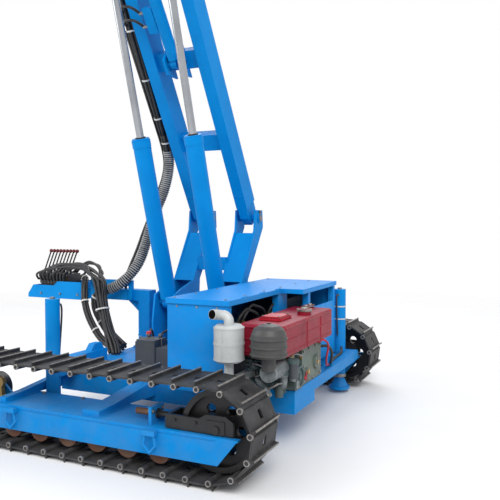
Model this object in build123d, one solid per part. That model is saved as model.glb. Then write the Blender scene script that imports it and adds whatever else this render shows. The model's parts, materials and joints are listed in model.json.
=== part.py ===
from build123d import *
import math
import os

# Anchor drilling rig on steel tracks, all sizes in millimetres.
# X points to the drive end, Y to the engine side of the cabinet, Z up.
# The middle of the tracks on the ground is the point that the places below start from.

# Tracks
TRACK_Y = 1090.0          # centre plane of each track
SHOE_WIDTH = 300.0
WHEEL_X = 835.0           # idler and sprocket axes, behind and ahead of the middle
WHEEL_Z = 262.0
PIN_RADIUS = 225.0        # hinge pins on the round ends of the track
SHOE_COUNT = 37
SHOE_THICKNESS = 10.0
KNUCKLE_RADIUS = 16.0     # hinge tube of a shoe
GROUSER_HEIGHT = 21.0
GROUSER_THICKNESS = 9.0
SHOE_SLOT = (46.0, 34.0)  # window of a shoe along and across the track
RUN_GAP = 0.3             # clearance between pieces that seat on each other
IDLER_WIDTH = 96.0
SPROCKET_WIDTH = 26.0
ROLLER_RADIUS = 68.0
ROLLER_COUNT = 6
ROLLER_PITCH = 200.0

# Track frames
BEAM_Y = (TRACK_Y - 85.0, TRACK_Y + 95.0)     # inner and outer web of the beam
BEAM_Z = (106.0, 245.0)
BEAM_X = (-965.0, 600.0)
WEB = 10.0
TOP_PLATE_Y = TRACK_Y - 220.0      # inner edge of the wide top plate
RAKE = 110.0                  # slant of the beam's rear end
BRACKET_X = (-452.0, -434.0)  # plate that holds the tension screw

# Middle chassis
CROSS_BEAMS = (               # middle and width of the beams on the track frames
    (-60.0, 110.0),
    (582.0, 48.0),
)
CROSS_HEIGHT = 100.0
DECK_Z = 330.0                # top of the chassis plate
RAIL_LOW = 190.0              # underside of the side rails
CHASSIS_X = (-640.0, 626.0)
CHASSIS_Y = 600.0
REAR_X = (-1000.0, -930.0)    # rear cross member
REAR_HEIGHT = 70.0
TRAY_Y = (170.0, 515.0)
TRAY_HEIGHT = 135.0

# Slewing ring and boom stand
SLEW_X = 75.0
SLEW_Y = -300.0
RING_RADIUS = 330.0
RING_Z = (330.0, 400.0)
STAND_RADIUS = 345.0
STAND_REACH = 209.0           # of the legs ahead of and behind the slewing axis
BEAM_OFFSET = 210.0           # boom beams either side of the middle
CHEEK_GAP = 150.0             # between the two cheeks of a stand leg
CHEEK = 14.0
KNEE_Y = -720.0               # boom hinge
KNEE_Z = 1335.0

# Boom
BOOM_LEAN = 31.5              # from upright, towards the engine side
BOOM_LENGTH = 3150.0
BOOM_WIDTH = 90.0
BOOM_DEPTH = 160.0
TIE_STATIONS = (680.0, 1310.0, 1940.0, BOOM_LENGTH - 580.0)
TIE_DEPTH = 125.0
LUG_STATION = 2250.0          # where the lift cylinders hold the boom
LUG_OFFSET = 132.0
BOOM_WALL = 10.0
LIFT_BASE_Y = -200.0
LIFT_BASE_Z = 700.0
LIFT_BARREL = 1230.0          # from the base eye's pin to the barrel's mouth
LIFT_ROD = 1795.0             # from the rod's eye to its piston end
LIFT_BARREL_RADIUS = 62.0
LIFT_ROD_RADIUS = 26.0
LIFT_BASE_EYE = 48.0
LEVEL_STATION = 1310.0
LEVEL_OFFSET = 90.0
LEVEL_BARREL = 1060.0
LEVEL_BARREL_RADIUS = 42.0
LEVEL_ROD_RADIUS = 20.0
ARM_LENGTH = 220.0            # lever of the platform head
ARM_BACK = 15.0               # degrees that the lever points back along the boom

# Platform
HEAD_RISE = 250.0             # deck underside over the boom's top hinge
FLANGE_RADIUS = 210.0
PLATFORM_X = 2300.0
PLATFORM_Y = 1100.0
SLAT = 50.0
SLAT_COUNT = 9
RAIL_HEIGHT = 1000.0
RAIL_TUBE = 40.0
FEED_LENGTH = 2600.0
FEED_REACH = 700.0            # of the feed beam outside its hinge
FEED_WIDTH = 180.0
FEED_HEIGHT = 110.0
FEED_AXIS_Y = 120.0           # hinge outside the platform's edge
FEED_AXIS_Z = 330.0           # hinge over the platform's slats
GUARD_REACH = 117.0           # of the guard's hoops either side of the feed beam

# Console
POST_X = (475.0, 575.0)
POST_Y = (-310.0, -210.0)
ARM_Z = (690.0, 775.0)
ARM_REACH = 1085.0            # where the trough starts
TROUGH_X = 1640.0
TROUGH_Y = (-380.0, -150.0)
TROUGH_Z = (680.0, 820.0)
GUARD_X = (975.0, 1015.0)     # upright of the hose guard beside the arm
GUARD_Z = (805.0, 850.0)      # upper rail
GUARD_REACH_X = 620.0
LEVER_COUNT = 9
LEVER_PITCH = 34.0
VALVE_WIDTH = 28.0
VALVE_END = 90.0              # from the last valve to the trough's end
VALVE_X = TROUGH_X - VALVE_END - LEVER_PITCH * (LEVER_COUNT - 0.5) - VALVE_WIDTH / 2

# Hoses
BUNDLE_RADIUS = 36.0
BUNDLE_SIDE = 106.0           # from the middle of a boom beam to the clamped bundle
THIN_RADIUS = 11.0
THIN_END = 1560.0             # along the boom, where the thin hose turns in
RETURN_RADIUS = 27.0
BUNDLE_OFFSET = 20.0          # of the bundle to the boom's front
SLEEVE_TOP = 760.0            # along the boom, where the clamped bundle comes free
CLAMP_STATIONS = (900.0, THIN_END, 2180.0, BOOM_LENGTH - 330.0)

# Engine cabinet
CABINET_X = (-700.0, -305.0)
CABINET_FAR_X = -852.0
CABINET_Y = (-705.0, 0.0, 760.0)
CABINET_Z = 860.0
SHEET = 8.0

# Engine
TANK_X = (-1028.0, -753.0)
TANK_Y = (-100.0, 745.0)
TANK_Z = (565.0, 738.0)
BLOCK_Y = (0.0, 600.0)
COVER_Y = (40.0, 385.0)       # flat cover on the crankcase
CLEANER = (-983.0, 850.0)     # middle of the air cleaner
MUFFLER = (-750.0, 850.0)     # middle of the muffler
MUFFLER_RADIUS = 82.0
MUFFLER_HEIGHT = 200.0
OIL_TANK_X = (-640.0, -420.0)  # inside the cabinet
OIL_TANK_Y = (-600.0, -150.0)
OIL_TANK_TOP = 760.0

# Jacks
JACK_Y = TRACK_Y - 280.0
REAR_FAR_Y = 65.0 - JACK_Y       # end of the rear cross member, at its jack
JACKS = (                     # name, x, y, top of the tube
    ("front_left", 508.0, JACK_Y, 818.0),
    ("front_right", 508.0, -JACK_Y, 818.0),
    ("rear_right", -860.0, -JACK_Y, 790.0),
)
JACK_ARM = 90.0               # width of a front jack's arm
JACK_ARM_INNER = 330.0        # inner end of the arms
JACK_ARM_HEIGHT = 100.0
JACK_RADIUS = 45.0
JACK_TUBE_BOTTOM = 120.0
JACK_LEG_RADIUS = 33.0
JACK_FOOT_RADIUS = 78.0
JACK_REST = 28.0              # underside of the foot at rest


def block(x, y, z):
    """Box between two limits on each axis."""
    middle = Pos(sum(x) / 2, sum(y) / 2, sum(z) / 2)
    return middle * Box(x[1] - x[0], y[1] - y[0], z[1] - z[0])


def bar(start, end, radius):
    """Round bar between two points."""
    line = Vector(*end) - Vector(*start)
    place = Plane(origin=start, z_dir=line)
    return extrude(place * Circle(radius), amount=line.length)


def tube(start, end, radius, bore):
    """Round tube between two points."""
    line = Vector(*end) - Vector(*start)
    place = Plane(origin=start, z_dir=line)
    return extrude(place * (Circle(radius) - Circle(bore)), amount=line.length)


def side_plate(points, x0, x1):
    """Plate with its outline in Y and Z, from x0 to x1."""
    face = Plane.YZ.offset(x0) * make_face(Polyline(*points, close=True))
    return extrude(face, amount=x1 - x0)


def long_plate(points, y0, y1):
    """Plate with its outline in X and Z, from y0 to y1."""
    outline = [(x, 0.0, z) for x, z in points]
    face = Pos(0, y0, 0) * make_face(Polyline(*outline, close=True))
    return extrude(face, amount=y1 - y0, dir=(0, 1, 0))


def flat_plate(points, z0, z1):
    """Plate with its outline in X and Y, from z0 to z1."""
    face = Pos(0, 0, z0) * make_face(Polyline(*points, close=True))
    return extrude(face, amount=z1 - z0, dir=(0, 0, 1))


# Tracks

def pin_places():
    """Hinge pins along the loop, evenly spaced, starting at the top over the idler."""
    straight = 2 * WHEEL_X
    arc = math.pi * PIN_RADIUS
    pitch = 2 * (straight + arc) / SHOE_COUNT
    places = []
    for index in range(SHOE_COUNT):
        way = (index + 0.5) * pitch
        if way < straight:
            places.append((-WHEEL_X + way, WHEEL_Z + PIN_RADIUS))
        elif way < straight + arc:
            turn = (way - straight) / PIN_RADIUS
            places.append((WHEEL_X + PIN_RADIUS * math.sin(turn),
                           WHEEL_Z + PIN_RADIUS * math.cos(turn)))
        elif way < 2 * straight + arc:
            places.append((WHEEL_X - (way - straight - arc), WHEEL_Z - PIN_RADIUS))
        else:
            turn = (way - 2 * straight - arc) / PIN_RADIUS
            places.append((-WHEEL_X - PIN_RADIUS * math.sin(turn),
                           WHEEL_Z - PIN_RADIUS * math.cos(turn)))
    return places


def shoe_frames():
    """Start, direction along, direction outwards and length of each shoe."""
    pins = pin_places()
    frames = []
    for start, end in zip(pins, pins[1:] + pins[:1]):
        along = (end[0] - start[0], end[1] - start[1])
        length = math.hypot(*along)
        along = (along[0] / length, along[1] / length)
        outward = (-along[1], along[0])
        frames.append((start, along, outward, length))
    return frames


def on_shoe(frame, u, v):
    """Point of the loop's side view, u along a shoe and v outwards from its pins."""
    start, along, outward, _ = frame
    return (start[0] + u * along[0] + v * outward[0],
            start[1] + u * along[1] + v * outward[1])


def track(side):
    """Loop of hinged shoes, each with a grouser, a hinge tube and a window."""
    top = KNUCKLE_RADIUS
    under = KNUCKLE_RADIUS - SHOE_THICKNESS
    flat = 0.4 * KNUCKLE_RADIUS
    deep = 0.9165 * KNUCKLE_RADIUS
    outer, inner = [], []
    frames = shoe_frames()
    for frame in frames:
        length = frame[3]
        grouser = 0.6 * KNUCKLE_RADIUS
        edge = grouser + GROUSER_THICKNESS
        outer += [on_shoe(frame, u, v) for u, v in (
            (grouser, top), (grouser, top + GROUSER_HEIGHT), (edge, top + GROUSER_HEIGHT),
            (edge, top), (length - flat, top), (length, under))]
        inner += [on_shoe(frame, u, v) for u, v in (
            (flat, -deep), (deep, -flat), (deep, under),
            (length - deep, under), (length - deep, -flat), (length - flat, -deep))]
    y0 = side * TRACK_Y - SHOE_WIDTH / 2
    loop = long_plate(outer, y0, y0 + SHOE_WIDTH) - long_plate(inner, y0 - 1, y0 + SHOE_WIDTH + 1)
    windows = []
    for frame in frames:
        middle = frame[3] / 2 + 6
        x, z = on_shoe(frame, middle, (top + under) / 2)
        angle = math.degrees(math.atan2(frame[1][1], frame[1][0]))
        window = Box(SHOE_SLOT[0], SHOE_SLOT[1], 3 * SHOE_THICKNESS)
        windows.append(Pos(x, side * TRACK_Y, z) * Rot(0, -angle, 0) * window)
    return loop - Compound(windows)


def wheel_radius():
    """Rim that carries the shoes' hinge tubes."""
    return PIN_RADIUS - KNUCKLE_RADIUS - RUN_GAP


def idler_wheels():
    """Smooth rear wheels with round holes in their discs."""
    rim = wheel_radius()
    disc = Cylinder(rim, IDLER_WIDTH) - Cylinder(rim - 28, IDLER_WIDTH + 2)
    web = Cylinder(rim - 27, 24) - PolarLocations(112, 6) * Cylinder(27, 30)
    hub = Cylinder(48, IDLER_WIDTH + 14)
    wheel = disc + web + hub
    wheel = Rot(90, 0, 0) * wheel
    return [Pos(-WHEEL_X, side * TRACK_Y, WHEEL_Z) * wheel for side in (1, -1)]


def idler_yokes():
    """Forks that carry the idlers on the beams, with their tension screws."""
    inner = IDLER_WIDTH / 2 + 7 + RUN_GAP
    yokes = []
    for side in (1, -1):
        middle = side * TRACK_Y
        outline = [(-930, 250), (-545, 250), (-545, 320), (-740, 320), (-780, 345),
                   (-890, 345), (-930, 320)]
        fork = None
        for edge in (-1, 1):
            y0 = middle + edge * inner
            cheek = long_plate(outline, min(y0, y0 + edge * 16), max(y0, y0 + edge * 16))
            fork = cheek if fork is None else fork + cheek
        fork += block((-565, -545), (middle - inner - 16, middle + inner + 16), (250, 320))
        fork += bar((-546, middle, 292), (-400, middle, 292), 17)
        for x in (BRACKET_X[0] - 12 - RUN_GAP, BRACKET_X[1] + RUN_GAP):
            fork += Pos(x, middle, 292) * Rot(0, 90, 0) * extrude(RegularPolygon(27, 6), 12)
        yokes.append(fork)
    return yokes


def sprockets():
    """Toothed drive rings at the front."""
    rim = wheel_radius()
    pins = [p for p in pin_places() if p[0] > WHEEL_X + 20]
    first = math.degrees(math.atan2(pins[0][1] - WHEEL_Z, pins[0][0] - WHEEL_X))
    step = 360.0 / 11
    ring = Circle(rim - 12) - Circle(118)
    tooth = Polyline((rim - 20, -34), (rim - 6, -30), (rim + 14, -13), (rim + 14, 13),
                     (rim - 6, 30), (rim - 20, 34), close=True)
    face = ring
    for index in range(11):
        face += Rot(0, 0, first + (index + 0.5) * step) * make_face(tooth)
    wheel = extrude(face, amount=SPROCKET_WIDTH / 2, both=True)
    turned = Rot(90, 0, 0) * wheel
    return [Pos(WHEEL_X, side * TRACK_Y, WHEEL_Z) * turned for side in (1, -1)]


def drive_hubs():
    """Drive motors inside the sprockets."""
    hubs = []
    for side in (1, -1):
        inward = -side
        outer = side * TRACK_Y + side * 62
        inner = side * TRACK_Y + inward * 175
        hub = bar((WHEEL_X, outer, WHEEL_Z), (WHEEL_X, inner, WHEEL_Z), 92)
        flange = side * TRACK_Y + inward * (SPROCKET_WIDTH / 2 + RUN_GAP)
        hub += bar((WHEEL_X, flange, WHEEL_Z),
                   (WHEEL_X, side * TRACK_Y + inward * 34, WHEEL_Z), 140)
        hub += bar((WHEEL_X, outer - side, WHEEL_Z), (WHEEL_X, outer + side * 22, WHEEL_Z), 62)
        hubs.append(hub)
    return hubs


def track_rollers():
    """Lower rollers between the webs of the beams."""
    rollers = []
    seat = WHEEL_Z - PIN_RADIUS + KNUCKLE_RADIUS
    z = seat + ROLLER_RADIUS + RUN_GAP
    for side in (1, -1):
        middle = side * (BEAM_Y[0] + BEAM_Y[1]) / 2
        for index in range(ROLLER_COUNT):
            x = (index - (ROLLER_COUNT - 1) / 2) * ROLLER_PITCH
            half = (BEAM_Y[1] - BEAM_Y[0]) / 2 - WEB - RUN_GAP
            wheel = bar((x, middle - 60, z), (x, middle + 60, z), ROLLER_RADIUS)
            wheel += bar((x, middle - half, z), (x, middle + half, z), 22)
            rollers.append(wheel)
    return rollers


def track_frames():
    """Beam inside each track, with the wide top plate, screw bracket and motor plate."""
    frames = []
    rear, front = BEAM_X
    low, high = BEAM_Z
    outline = [(rear, high), (rear + RAKE, low), (front, low), (front, high)]
    for side in (1, -1):
        webs = [sorted((side * BEAM_Y[0], side * (BEAM_Y[0] + WEB))),
                sorted((side * (BEAM_Y[1] - WEB), side * BEAM_Y[1]))]
        frame = block((rear, front), sorted((side * TOP_PLATE_Y, side * BEAM_Y[1])),
                      (high - WEB, high))
        for y0, y1 in webs:
            frame += long_plate(outline, y0, y1)
        slot = sorted((side * TRACK_Y - IDLER_WIDTH / 2 - 12, side * TRACK_Y + IDLER_WIDTH / 2 + 12))
        frame -= block((rear - 1, -WHEEL_X + PIN_RADIUS), slot, (high - 2 * WEB, high + 1))
        frame += block(BRACKET_X, sorted((side * (TRACK_Y - 60), side * (TRACK_Y + 60))),
                       (high - 1, WHEEL_Z + 75))
        frame += block((front - WEB, front), sorted((side * BEAM_Y[0], side * BEAM_Y[1])),
                       (low, high))
        plate = [(front - 10, low), (front + 40, low), (WHEEL_X + 60, WHEEL_Z - 120),
                 (WHEEL_X + 130, WHEEL_Z), (WHEEL_X + 60, WHEEL_Z + 120),
                 (WHEEL_X - 60, WHEEL_Z + 120), (front + 12, high - 1), (front - 10, high - 1)]
        plate_y = sorted((side * (TRACK_Y - 60), side * (TRACK_Y - 76)))
        motor = long_plate(plate, *plate_y)
        motor -= bar((WHEEL_X, side * (TRACK_Y - 190), WHEEL_Z), (WHEEL_X, side * (TRACK_Y + 110), WHEEL_Z),
                     92 + RUN_GAP)
        frame += motor
        screw = bar((-485, side * TRACK_Y, 292), (-395, side * TRACK_Y, 292), 17 + RUN_GAP)
        frames.append(frame - screw)
    return frames


def lifting_rings():
    """Rings that hang in ears on the outside of the beams."""
    rings = []
    outer = BEAM_Y[1]
    for side in (1, -1):
        for x in (-475.0, 470.0):
            ear = block((x - 38, x + 38), sorted((side * outer, side * (outer + 34))), (212, 238))
            path = Polyline((x - 26, side * (outer + 20), 213), (x - 36, side * (outer + 20), 160),
                            (x, side * (outer + 20), 120), (x + 36, side * (outer + 20), 160),
                            (x + 26, side * (outer + 20), 213))
            profile = Plane(origin=path @ 0, z_dir=path % 0) * RegularPolygon(7, 8)
            rings.append(ear + sweep(profile, path, transition=Transition.RIGHT))
    return rings


# Chassis

def chassis_frame():
    """Middle frame on two cross beams that lie on the track frames, with its rear member."""
    low = BEAM_Z[1]
    hip = CHASSIS_Y + 40
    knee = TOP_PLATE_Y - 20
    brow = TRACK_Y - 80
    end = TRACK_Y + 60
    under = DECK_Z - CROSS_HEIGHT
    frame = block(CHASSIS_X, (-CHASSIS_Y, CHASSIS_Y), (DECK_Z - 12, DECK_Z))
    outline = [(-end, low), (-knee, low), (-hip, under), (hip, under), (knee, low),
               (end, low), (end, low + 28), (brow, low + 34), (hip, DECK_Z - 10),
               (-hip, DECK_Z - 10), (-brow, low + 34), (-end, low + 28)]
    for x, width in CROSS_BEAMS:
        frame += side_plate(outline, x - width / 2, x + width / 2)
        for side in (-1, 1):
            rib = [(side * CHASSIS_Y, DECK_Z), (side * (CHASSIS_Y + 150), low + 60),
                   (side * CHASSIS_Y, low + 60)]
            frame += side_plate(rib, x - 8, x + 8)
    for y in (-CHASSIS_Y, CHASSIS_Y - 80):
        frame += block(CHASSIS_X, (y, y + 80), (RAIL_LOW, DECK_Z - 10))
    frame += block((CHASSIS_X[0], CHASSIS_X[0] + 60), (-CHASSIS_Y, CHASSIS_Y),
                   (RAIL_LOW, DECK_Z - 10))
    frame += block((REAR_X[1] - 1, CHASSIS_X[0] + 1), (-CHASSIS_Y, -CHASSIS_Y + 80),
                   (DECK_Z - REAR_HEIGHT, DECK_Z))
    frame += block(REAR_X, (REAR_FAR_Y, TRAY_Y[0]), (DECK_Z - REAR_HEIGHT, DECK_Z))
    return frame


def engine_tray():
    """Tray under the engine, behind the middle frame."""
    x0, x1 = REAR_X[0], CHASSIS_X[0]
    low = DECK_Z - TRAY_HEIGHT
    tray = block((x0, x1), TRAY_Y, (low, DECK_Z))
    tray -= block((x0 + 10, x1 - 10), (TRAY_Y[0] + 10, TRAY_Y[1] - 10), (low + 10, DECK_Z - 12))
    tray -= block((x0 + 70, x1 - 70), (TRAY_Y[0] + 60, TRAY_Y[1] - 60), (DECK_Z - 13, DECK_Z + 1))
    return tray


def slew_ring():
    """Bearing ring between the chassis and the boom stand."""
    ring = Cylinder(RING_RADIUS, 40) - Cylinder(RING_RADIUS - 90, 42)
    low = RING_Z[0]
    teeth = PolarLocations(RING_RADIUS + 4, 40) * Box(12, 16, 26)
    return Pos(SLEW_X, SLEW_Y, low + 20) * (ring + teeth)


# Boom stand, boom and cylinders

def boom_place(shape):
    """From upright at the origin to the boom's hinge and lean."""
    return Pos(SLEW_X, KNEE_Y, KNEE_Z) * Rot(-BOOM_LEAN, 0, 0) * shape


def boom_point(station, offset):
    """Y and Z of a point along the boom, offset to its front."""
    lean = math.radians(BOOM_LEAN)
    return (KNEE_Y + station * math.sin(lean) + offset * math.cos(lean),
            KNEE_Z + station * math.cos(lean) - offset * math.sin(lean))


def boom_stand():
    """Turning plate with two legs, each a box of cheeks with a front and a back plate."""
    low = RING_Z[0] + 40 + RUN_GAP
    stand = Pos(SLEW_X, SLEW_Y, low + 14) * Cylinder(STAND_RADIUS, 28)
    high = low + 28
    front = SLEW_Y + STAND_REACH
    rear = SLEW_Y - STAND_REACH
    neck = CABINET_Z
    outline = [(rear + 24, high - 1), (front - 8, high - 1), (front, 560),
               (LIFT_BASE_Y + 75, LIFT_BASE_Z + 60), (LIFT_BASE_Y - 30, LIFT_BASE_Z + 100),
               (rear + 105, neck - 10), (KNEE_Y + 85, KNEE_Z - 95), (KNEE_Y + 70, KNEE_Z + 62),
               (KNEE_Y - 60, KNEE_Z + 62), (KNEE_Y - 72, KNEE_Z - 75), (rear, neck),
               (rear + 14, 640)]
    back = [(rear + 24, high - 1), (rear + 38, high - 1), (rear + 28, 640), (rear + 14, neck),
            (KNEE_Y - 22, KNEE_Z - 148), (KNEE_Y - 38, KNEE_Z - 148), (rear, neck),
            (rear + 14, 640)]
    face = [(rear + 90, neck - 10), (rear + 105, neck - 10), (KNEE_Y + 88, KNEE_Z - 118),
            (KNEE_Y + 70, KNEE_Z - 118)]
    for beam in (-BEAM_OFFSET, BEAM_OFFSET):
        middle = SLEW_X + beam
        for cheek in (-1, 1):
            x = middle + cheek * (CHEEK_GAP / 2 + CHEEK / 2)
            stand += side_plate(outline, x - CHEEK / 2, x + CHEEK / 2)
        for plate in (back, face):
            stand += side_plate(plate, middle - CHEEK_GAP / 2 - 1, middle + CHEEK_GAP / 2 + 1)
        for y, z, radius in ((KNEE_Y, KNEE_Z, 26), (LIFT_BASE_Y, LIFT_BASE_Z, 24)):
            reach = CHEEK_GAP / 2 + CHEEK
            for cheek in (-1, 1):
                stand += bar((middle + cheek * 20, y, z), (middle + cheek * (reach + 10), y, z),
                             radius)
                stand += bar((middle + cheek * (reach - 1), y, z),
                             (middle + cheek * (reach + 6), y, z), radius + 16)
    gap = BEAM_OFFSET - CHEEK_GAP / 2 - CHEEK
    for z0, z1, y0 in ((930, 1030, rear - 30), (480, 600, rear + 30)):
        stand += block((SLEW_X - gap - 1, SLEW_X + gap + 1), (y0, y0 + 60), (z0, z1))
    return stand


def boom_frame():
    """Two box beams joined by cross ties, with hinge eyes and cylinder lugs."""
    half_width, half_depth = BOOM_WIDTH / 2, BOOM_DEPTH / 2
    boom = None
    for x in (-BEAM_OFFSET, BEAM_OFFSET):
        beam = block((x - half_width, x + half_width), (-half_depth, half_depth),
                     (120, BOOM_LENGTH - 120))
        beam -= block((x - half_width + BOOM_WALL, x + half_width - BOOM_WALL),
                      (-half_depth + BOOM_WALL, half_depth - BOOM_WALL),
                      (240, BOOM_LENGTH - 240))
        foot = side_plate([(-half_depth, 240), (-half_depth, 40), (-40, -40), (40, -40),
                           (half_depth, 40), (half_depth, 240)], x - 34, x + 34)
        top = side_plate([(-half_depth, BOOM_LENGTH - 240), (-half_depth, BOOM_LENGTH - 50),
                          (-45, BOOM_LENGTH + 55), (45, BOOM_LENGTH + 55),
                          (half_depth, BOOM_LENGTH - 50), (half_depth, BOOM_LENGTH - 240)],
                         x - 34, x + 34)
        piece = beam + foot + top
        piece -= bar((x - 50, 0, 0), (x + 50, 0, 0), 26 + RUN_GAP)
        piece -= bar((x - 50, 0, BOOM_LENGTH), (x + 50, 0, BOOM_LENGTH), 26 + RUN_GAP)
        for cheek in (-1, 1):
            x0 = x + cheek * 48 - 8
            lug = [(-half_depth + 10, LUG_STATION - 160), (half_depth, LUG_STATION - 170),
                   (LUG_OFFSET + 45, LUG_STATION - 45), (LUG_OFFSET + 45, LUG_STATION + 40),
                   (half_depth, LUG_STATION + 120), (-half_depth + 10, LUG_STATION + 120)]
            piece += side_plate(lug, x0, x0 + 16)
        boom = piece if boom is None else boom + piece
    gap = BEAM_OFFSET - half_width + 1
    for station in TIE_STATIONS:
        tie = block((-gap, gap), (-45, 45), (station - TIE_DEPTH / 2, station + TIE_DEPTH / 2))
        tie -= block((-gap + 20, gap - 20), (-37, 37),
                     (station - TIE_DEPTH / 2 + 8, station + TIE_DEPTH / 2 - 8))
        boom += tie
    for cheek in (-1, 1):
        x0 = cheek * 58 - 9
        lug = [(30, LEVEL_STATION - 130), (LEVEL_OFFSET + 50, LEVEL_STATION - 60),
               (LEVEL_OFFSET + 50, LEVEL_STATION + 45), (30, LEVEL_STATION + 100)]
        boom += side_plate(lug, x0, x0 + 18)
        boom += bar((cheek * 12, LEVEL_OFFSET, LEVEL_STATION),
                    (cheek * 76, LEVEL_OFFSET, LEVEL_STATION), 18)
    for station in CLAMP_STATIONS:
        boom += block((BEAM_OFFSET + half_width - 1, BEAM_OFFSET + BUNDLE_SIDE + 30),
                      (BUNDLE_OFFSET - BUNDLE_RADIUS - 13, BUNDLE_OFFSET - BUNDLE_RADIUS - RUN_GAP),
                      (station - 18, station + 18))
    return boom_place(boom)


def cylinder_ends(base, tip):
    """Length and lean from upright of a cylinder in the boom's plane."""
    dy, dz = tip[0] - base[0], tip[1] - base[1]
    return math.hypot(dy, dz), math.degrees(math.atan2(dy, dz))


def lift_ends():
    """Base and tip of the lift cylinders at rest."""
    return (LIFT_BASE_Y, LIFT_BASE_Z), boom_point(LUG_STATION, LUG_OFFSET)


def lift_place(shape, x):
    """From upright at the origin to a lift cylinder's base and lean."""
    base, tip = lift_ends()
    _, lean = cylinder_ends(base, tip)
    return Pos(SLEW_X + x, base[0], base[1]) * Rot(-lean, 0, 0) * shape


def lift_barrels():
    """Barrels of the two lift cylinders."""
    barrels = []
    for x in (-BEAM_OFFSET, BEAM_OFFSET):
        eye = bar((-35, 0, 0), (35, 0, 0), LIFT_BASE_EYE)
        body = Pos(0, 0, 40 + (LIFT_BARREL - 40) / 2) * Cylinder(LIFT_BARREL_RADIUS,
                                                                LIFT_BARREL - 40)
        bore = Pos(0, 0, 90 + LIFT_BARREL / 2) * Cylinder(LIFT_ROD_RADIUS + 10, LIFT_BARREL - 120)
        mouth = Pos(0, 0, LIFT_BARREL) * Cylinder(LIFT_ROD_RADIUS + RUN_GAP, 200)
        barrel = eye + body - bore - mouth
        barrel -= bar((-60, 0, 0), (60, 0, 0), 24 + RUN_GAP)
        barrels.append(lift_place(barrel, x))
    return barrels


def lift_rods():
    """Chrome rods of the lift cylinders, with their eyes."""
    base, tip = lift_ends()
    length, _ = cylinder_ends(base, tip)
    rods = []
    for x in (-BEAM_OFFSET, BEAM_OFFSET):
        start = length - LIFT_ROD
        rod = Pos(0, 0, (start + length - 30) / 2) * Cylinder(LIFT_ROD_RADIUS, length - 30 - start)
        eye = bar((-40 + RUN_GAP, 0, length), (40 - RUN_GAP, 0, length), 44)
        rod = rod + eye - bar((-60, 0, length), (60, 0, length), 24)
        rods.append(lift_place(rod, x))
    return rods


def level_ends():
    """Base and tip of the levelling cylinder at rest."""
    back = math.radians(ARM_BACK)
    station = BOOM_LENGTH - ARM_LENGTH * math.sin(back)
    offset = ARM_LENGTH * math.cos(back)
    return boom_point(LEVEL_STATION, LEVEL_OFFSET), boom_point(station, offset)


def level_place(shape):
    """From upright at the origin to the levelling cylinder's base and lean."""
    base, tip = level_ends()
    _, lean = cylinder_ends(base, tip)
    return Pos(SLEW_X, base[0], base[1]) * Rot(-lean, 0, 0) * shape


def level_barrel():
    """Barrel of the levelling cylinder."""
    eye = bar((-24, 0, 0), (24, 0, 0), 38)
    body = Pos(0, 0, 30 + (LEVEL_BARREL - 30) / 2) * Cylinder(LEVEL_BARREL_RADIUS,
                                                             LEVEL_BARREL - 30)
    bore = Pos(0, 0, 80 + LEVEL_BARREL / 2) * Cylinder(LEVEL_ROD_RADIUS + 8, LEVEL_BARREL - 110)
    mouth = Pos(0, 0, LEVEL_BARREL) * Cylinder(LEVEL_ROD_RADIUS + RUN_GAP, 200)
    barrel = eye + body - bore - mouth
    barrel -= bar((-40, 0, 0), (40, 0, 0), 18 + RUN_GAP)
    barrel += block((LEVEL_BARREL_RADIUS - 8, 105), (-32, 32), (230, 400))
    return level_place(barrel)


def level_rod():
    """Rod of the levelling cylinder."""
    base, tip = level_ends()
    length, _ = cylinder_ends(base, tip)
    start = 320
    rod = Pos(0, 0, (start + length - 22) / 2) * Cylinder(LEVEL_ROD_RADIUS, length - 22 - start)
    eye = bar((-28 + RUN_GAP, 0, length), (28 - RUN_GAP, 0, length), 34)
    rod = rod + eye - bar((-40, 0, length), (40, 0, length), 18)
    return level_place(rod)


# Platform

def top_hinge():
    """Y and Z of the hinge at the boom's top."""
    return boom_point(BOOM_LENGTH, 0)


def platform_head():
    """Swivel head on the boom's top hinge, with the lever of the levelling cylinder."""
    y, z = top_hinge()
    _, tip = level_ends()
    head = None
    for x in (-BEAM_OFFSET, BEAM_OFFSET):
        for cheek in (-1, 1):
            x0 = x + cheek * 53 - 8
            outline = [(y - 70, z - 50), (y + 70, z - 50), (y + 90, z + HEAD_RISE - 60),
                       (y - 90, z + HEAD_RISE - 60)]
            plate = side_plate(outline, SLEW_X + x0, SLEW_X + x0 + 16)
            stub = bar((SLEW_X + x + cheek * 20, y, z), (SLEW_X + x + cheek * 75, y, z), 26)
            piece = plate + stub
            head = piece if head is None else head + piece
    head += block((SLEW_X - 290, SLEW_X + 290), (y - 110, y + 150),
                  (z + HEAD_RISE - 61, z + HEAD_RISE - 30))
    for cheek in (-1, 1):
        x0 = SLEW_X + cheek * 36 - 8
        lever = [(y - 40, z + HEAD_RISE - 60), (y - 40, z + 90), (tip[0] - 30, tip[1] - 30),
                 (tip[0] + 20, tip[1] - 40), (tip[0] + 45, tip[1] + 20), (y + 150, z + 100),
                 (y + 140, z + HEAD_RISE - 60)]
        head += side_plate(lever, x0, x0 + 16)
    head += Pos(SLEW_X, y, z + HEAD_RISE - 21) * Cylinder(FLANGE_RADIUS, 20)
    return head


def deck_level():
    """Underside of the platform's slats."""
    return top_hinge()[1] + HEAD_RISE


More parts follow.
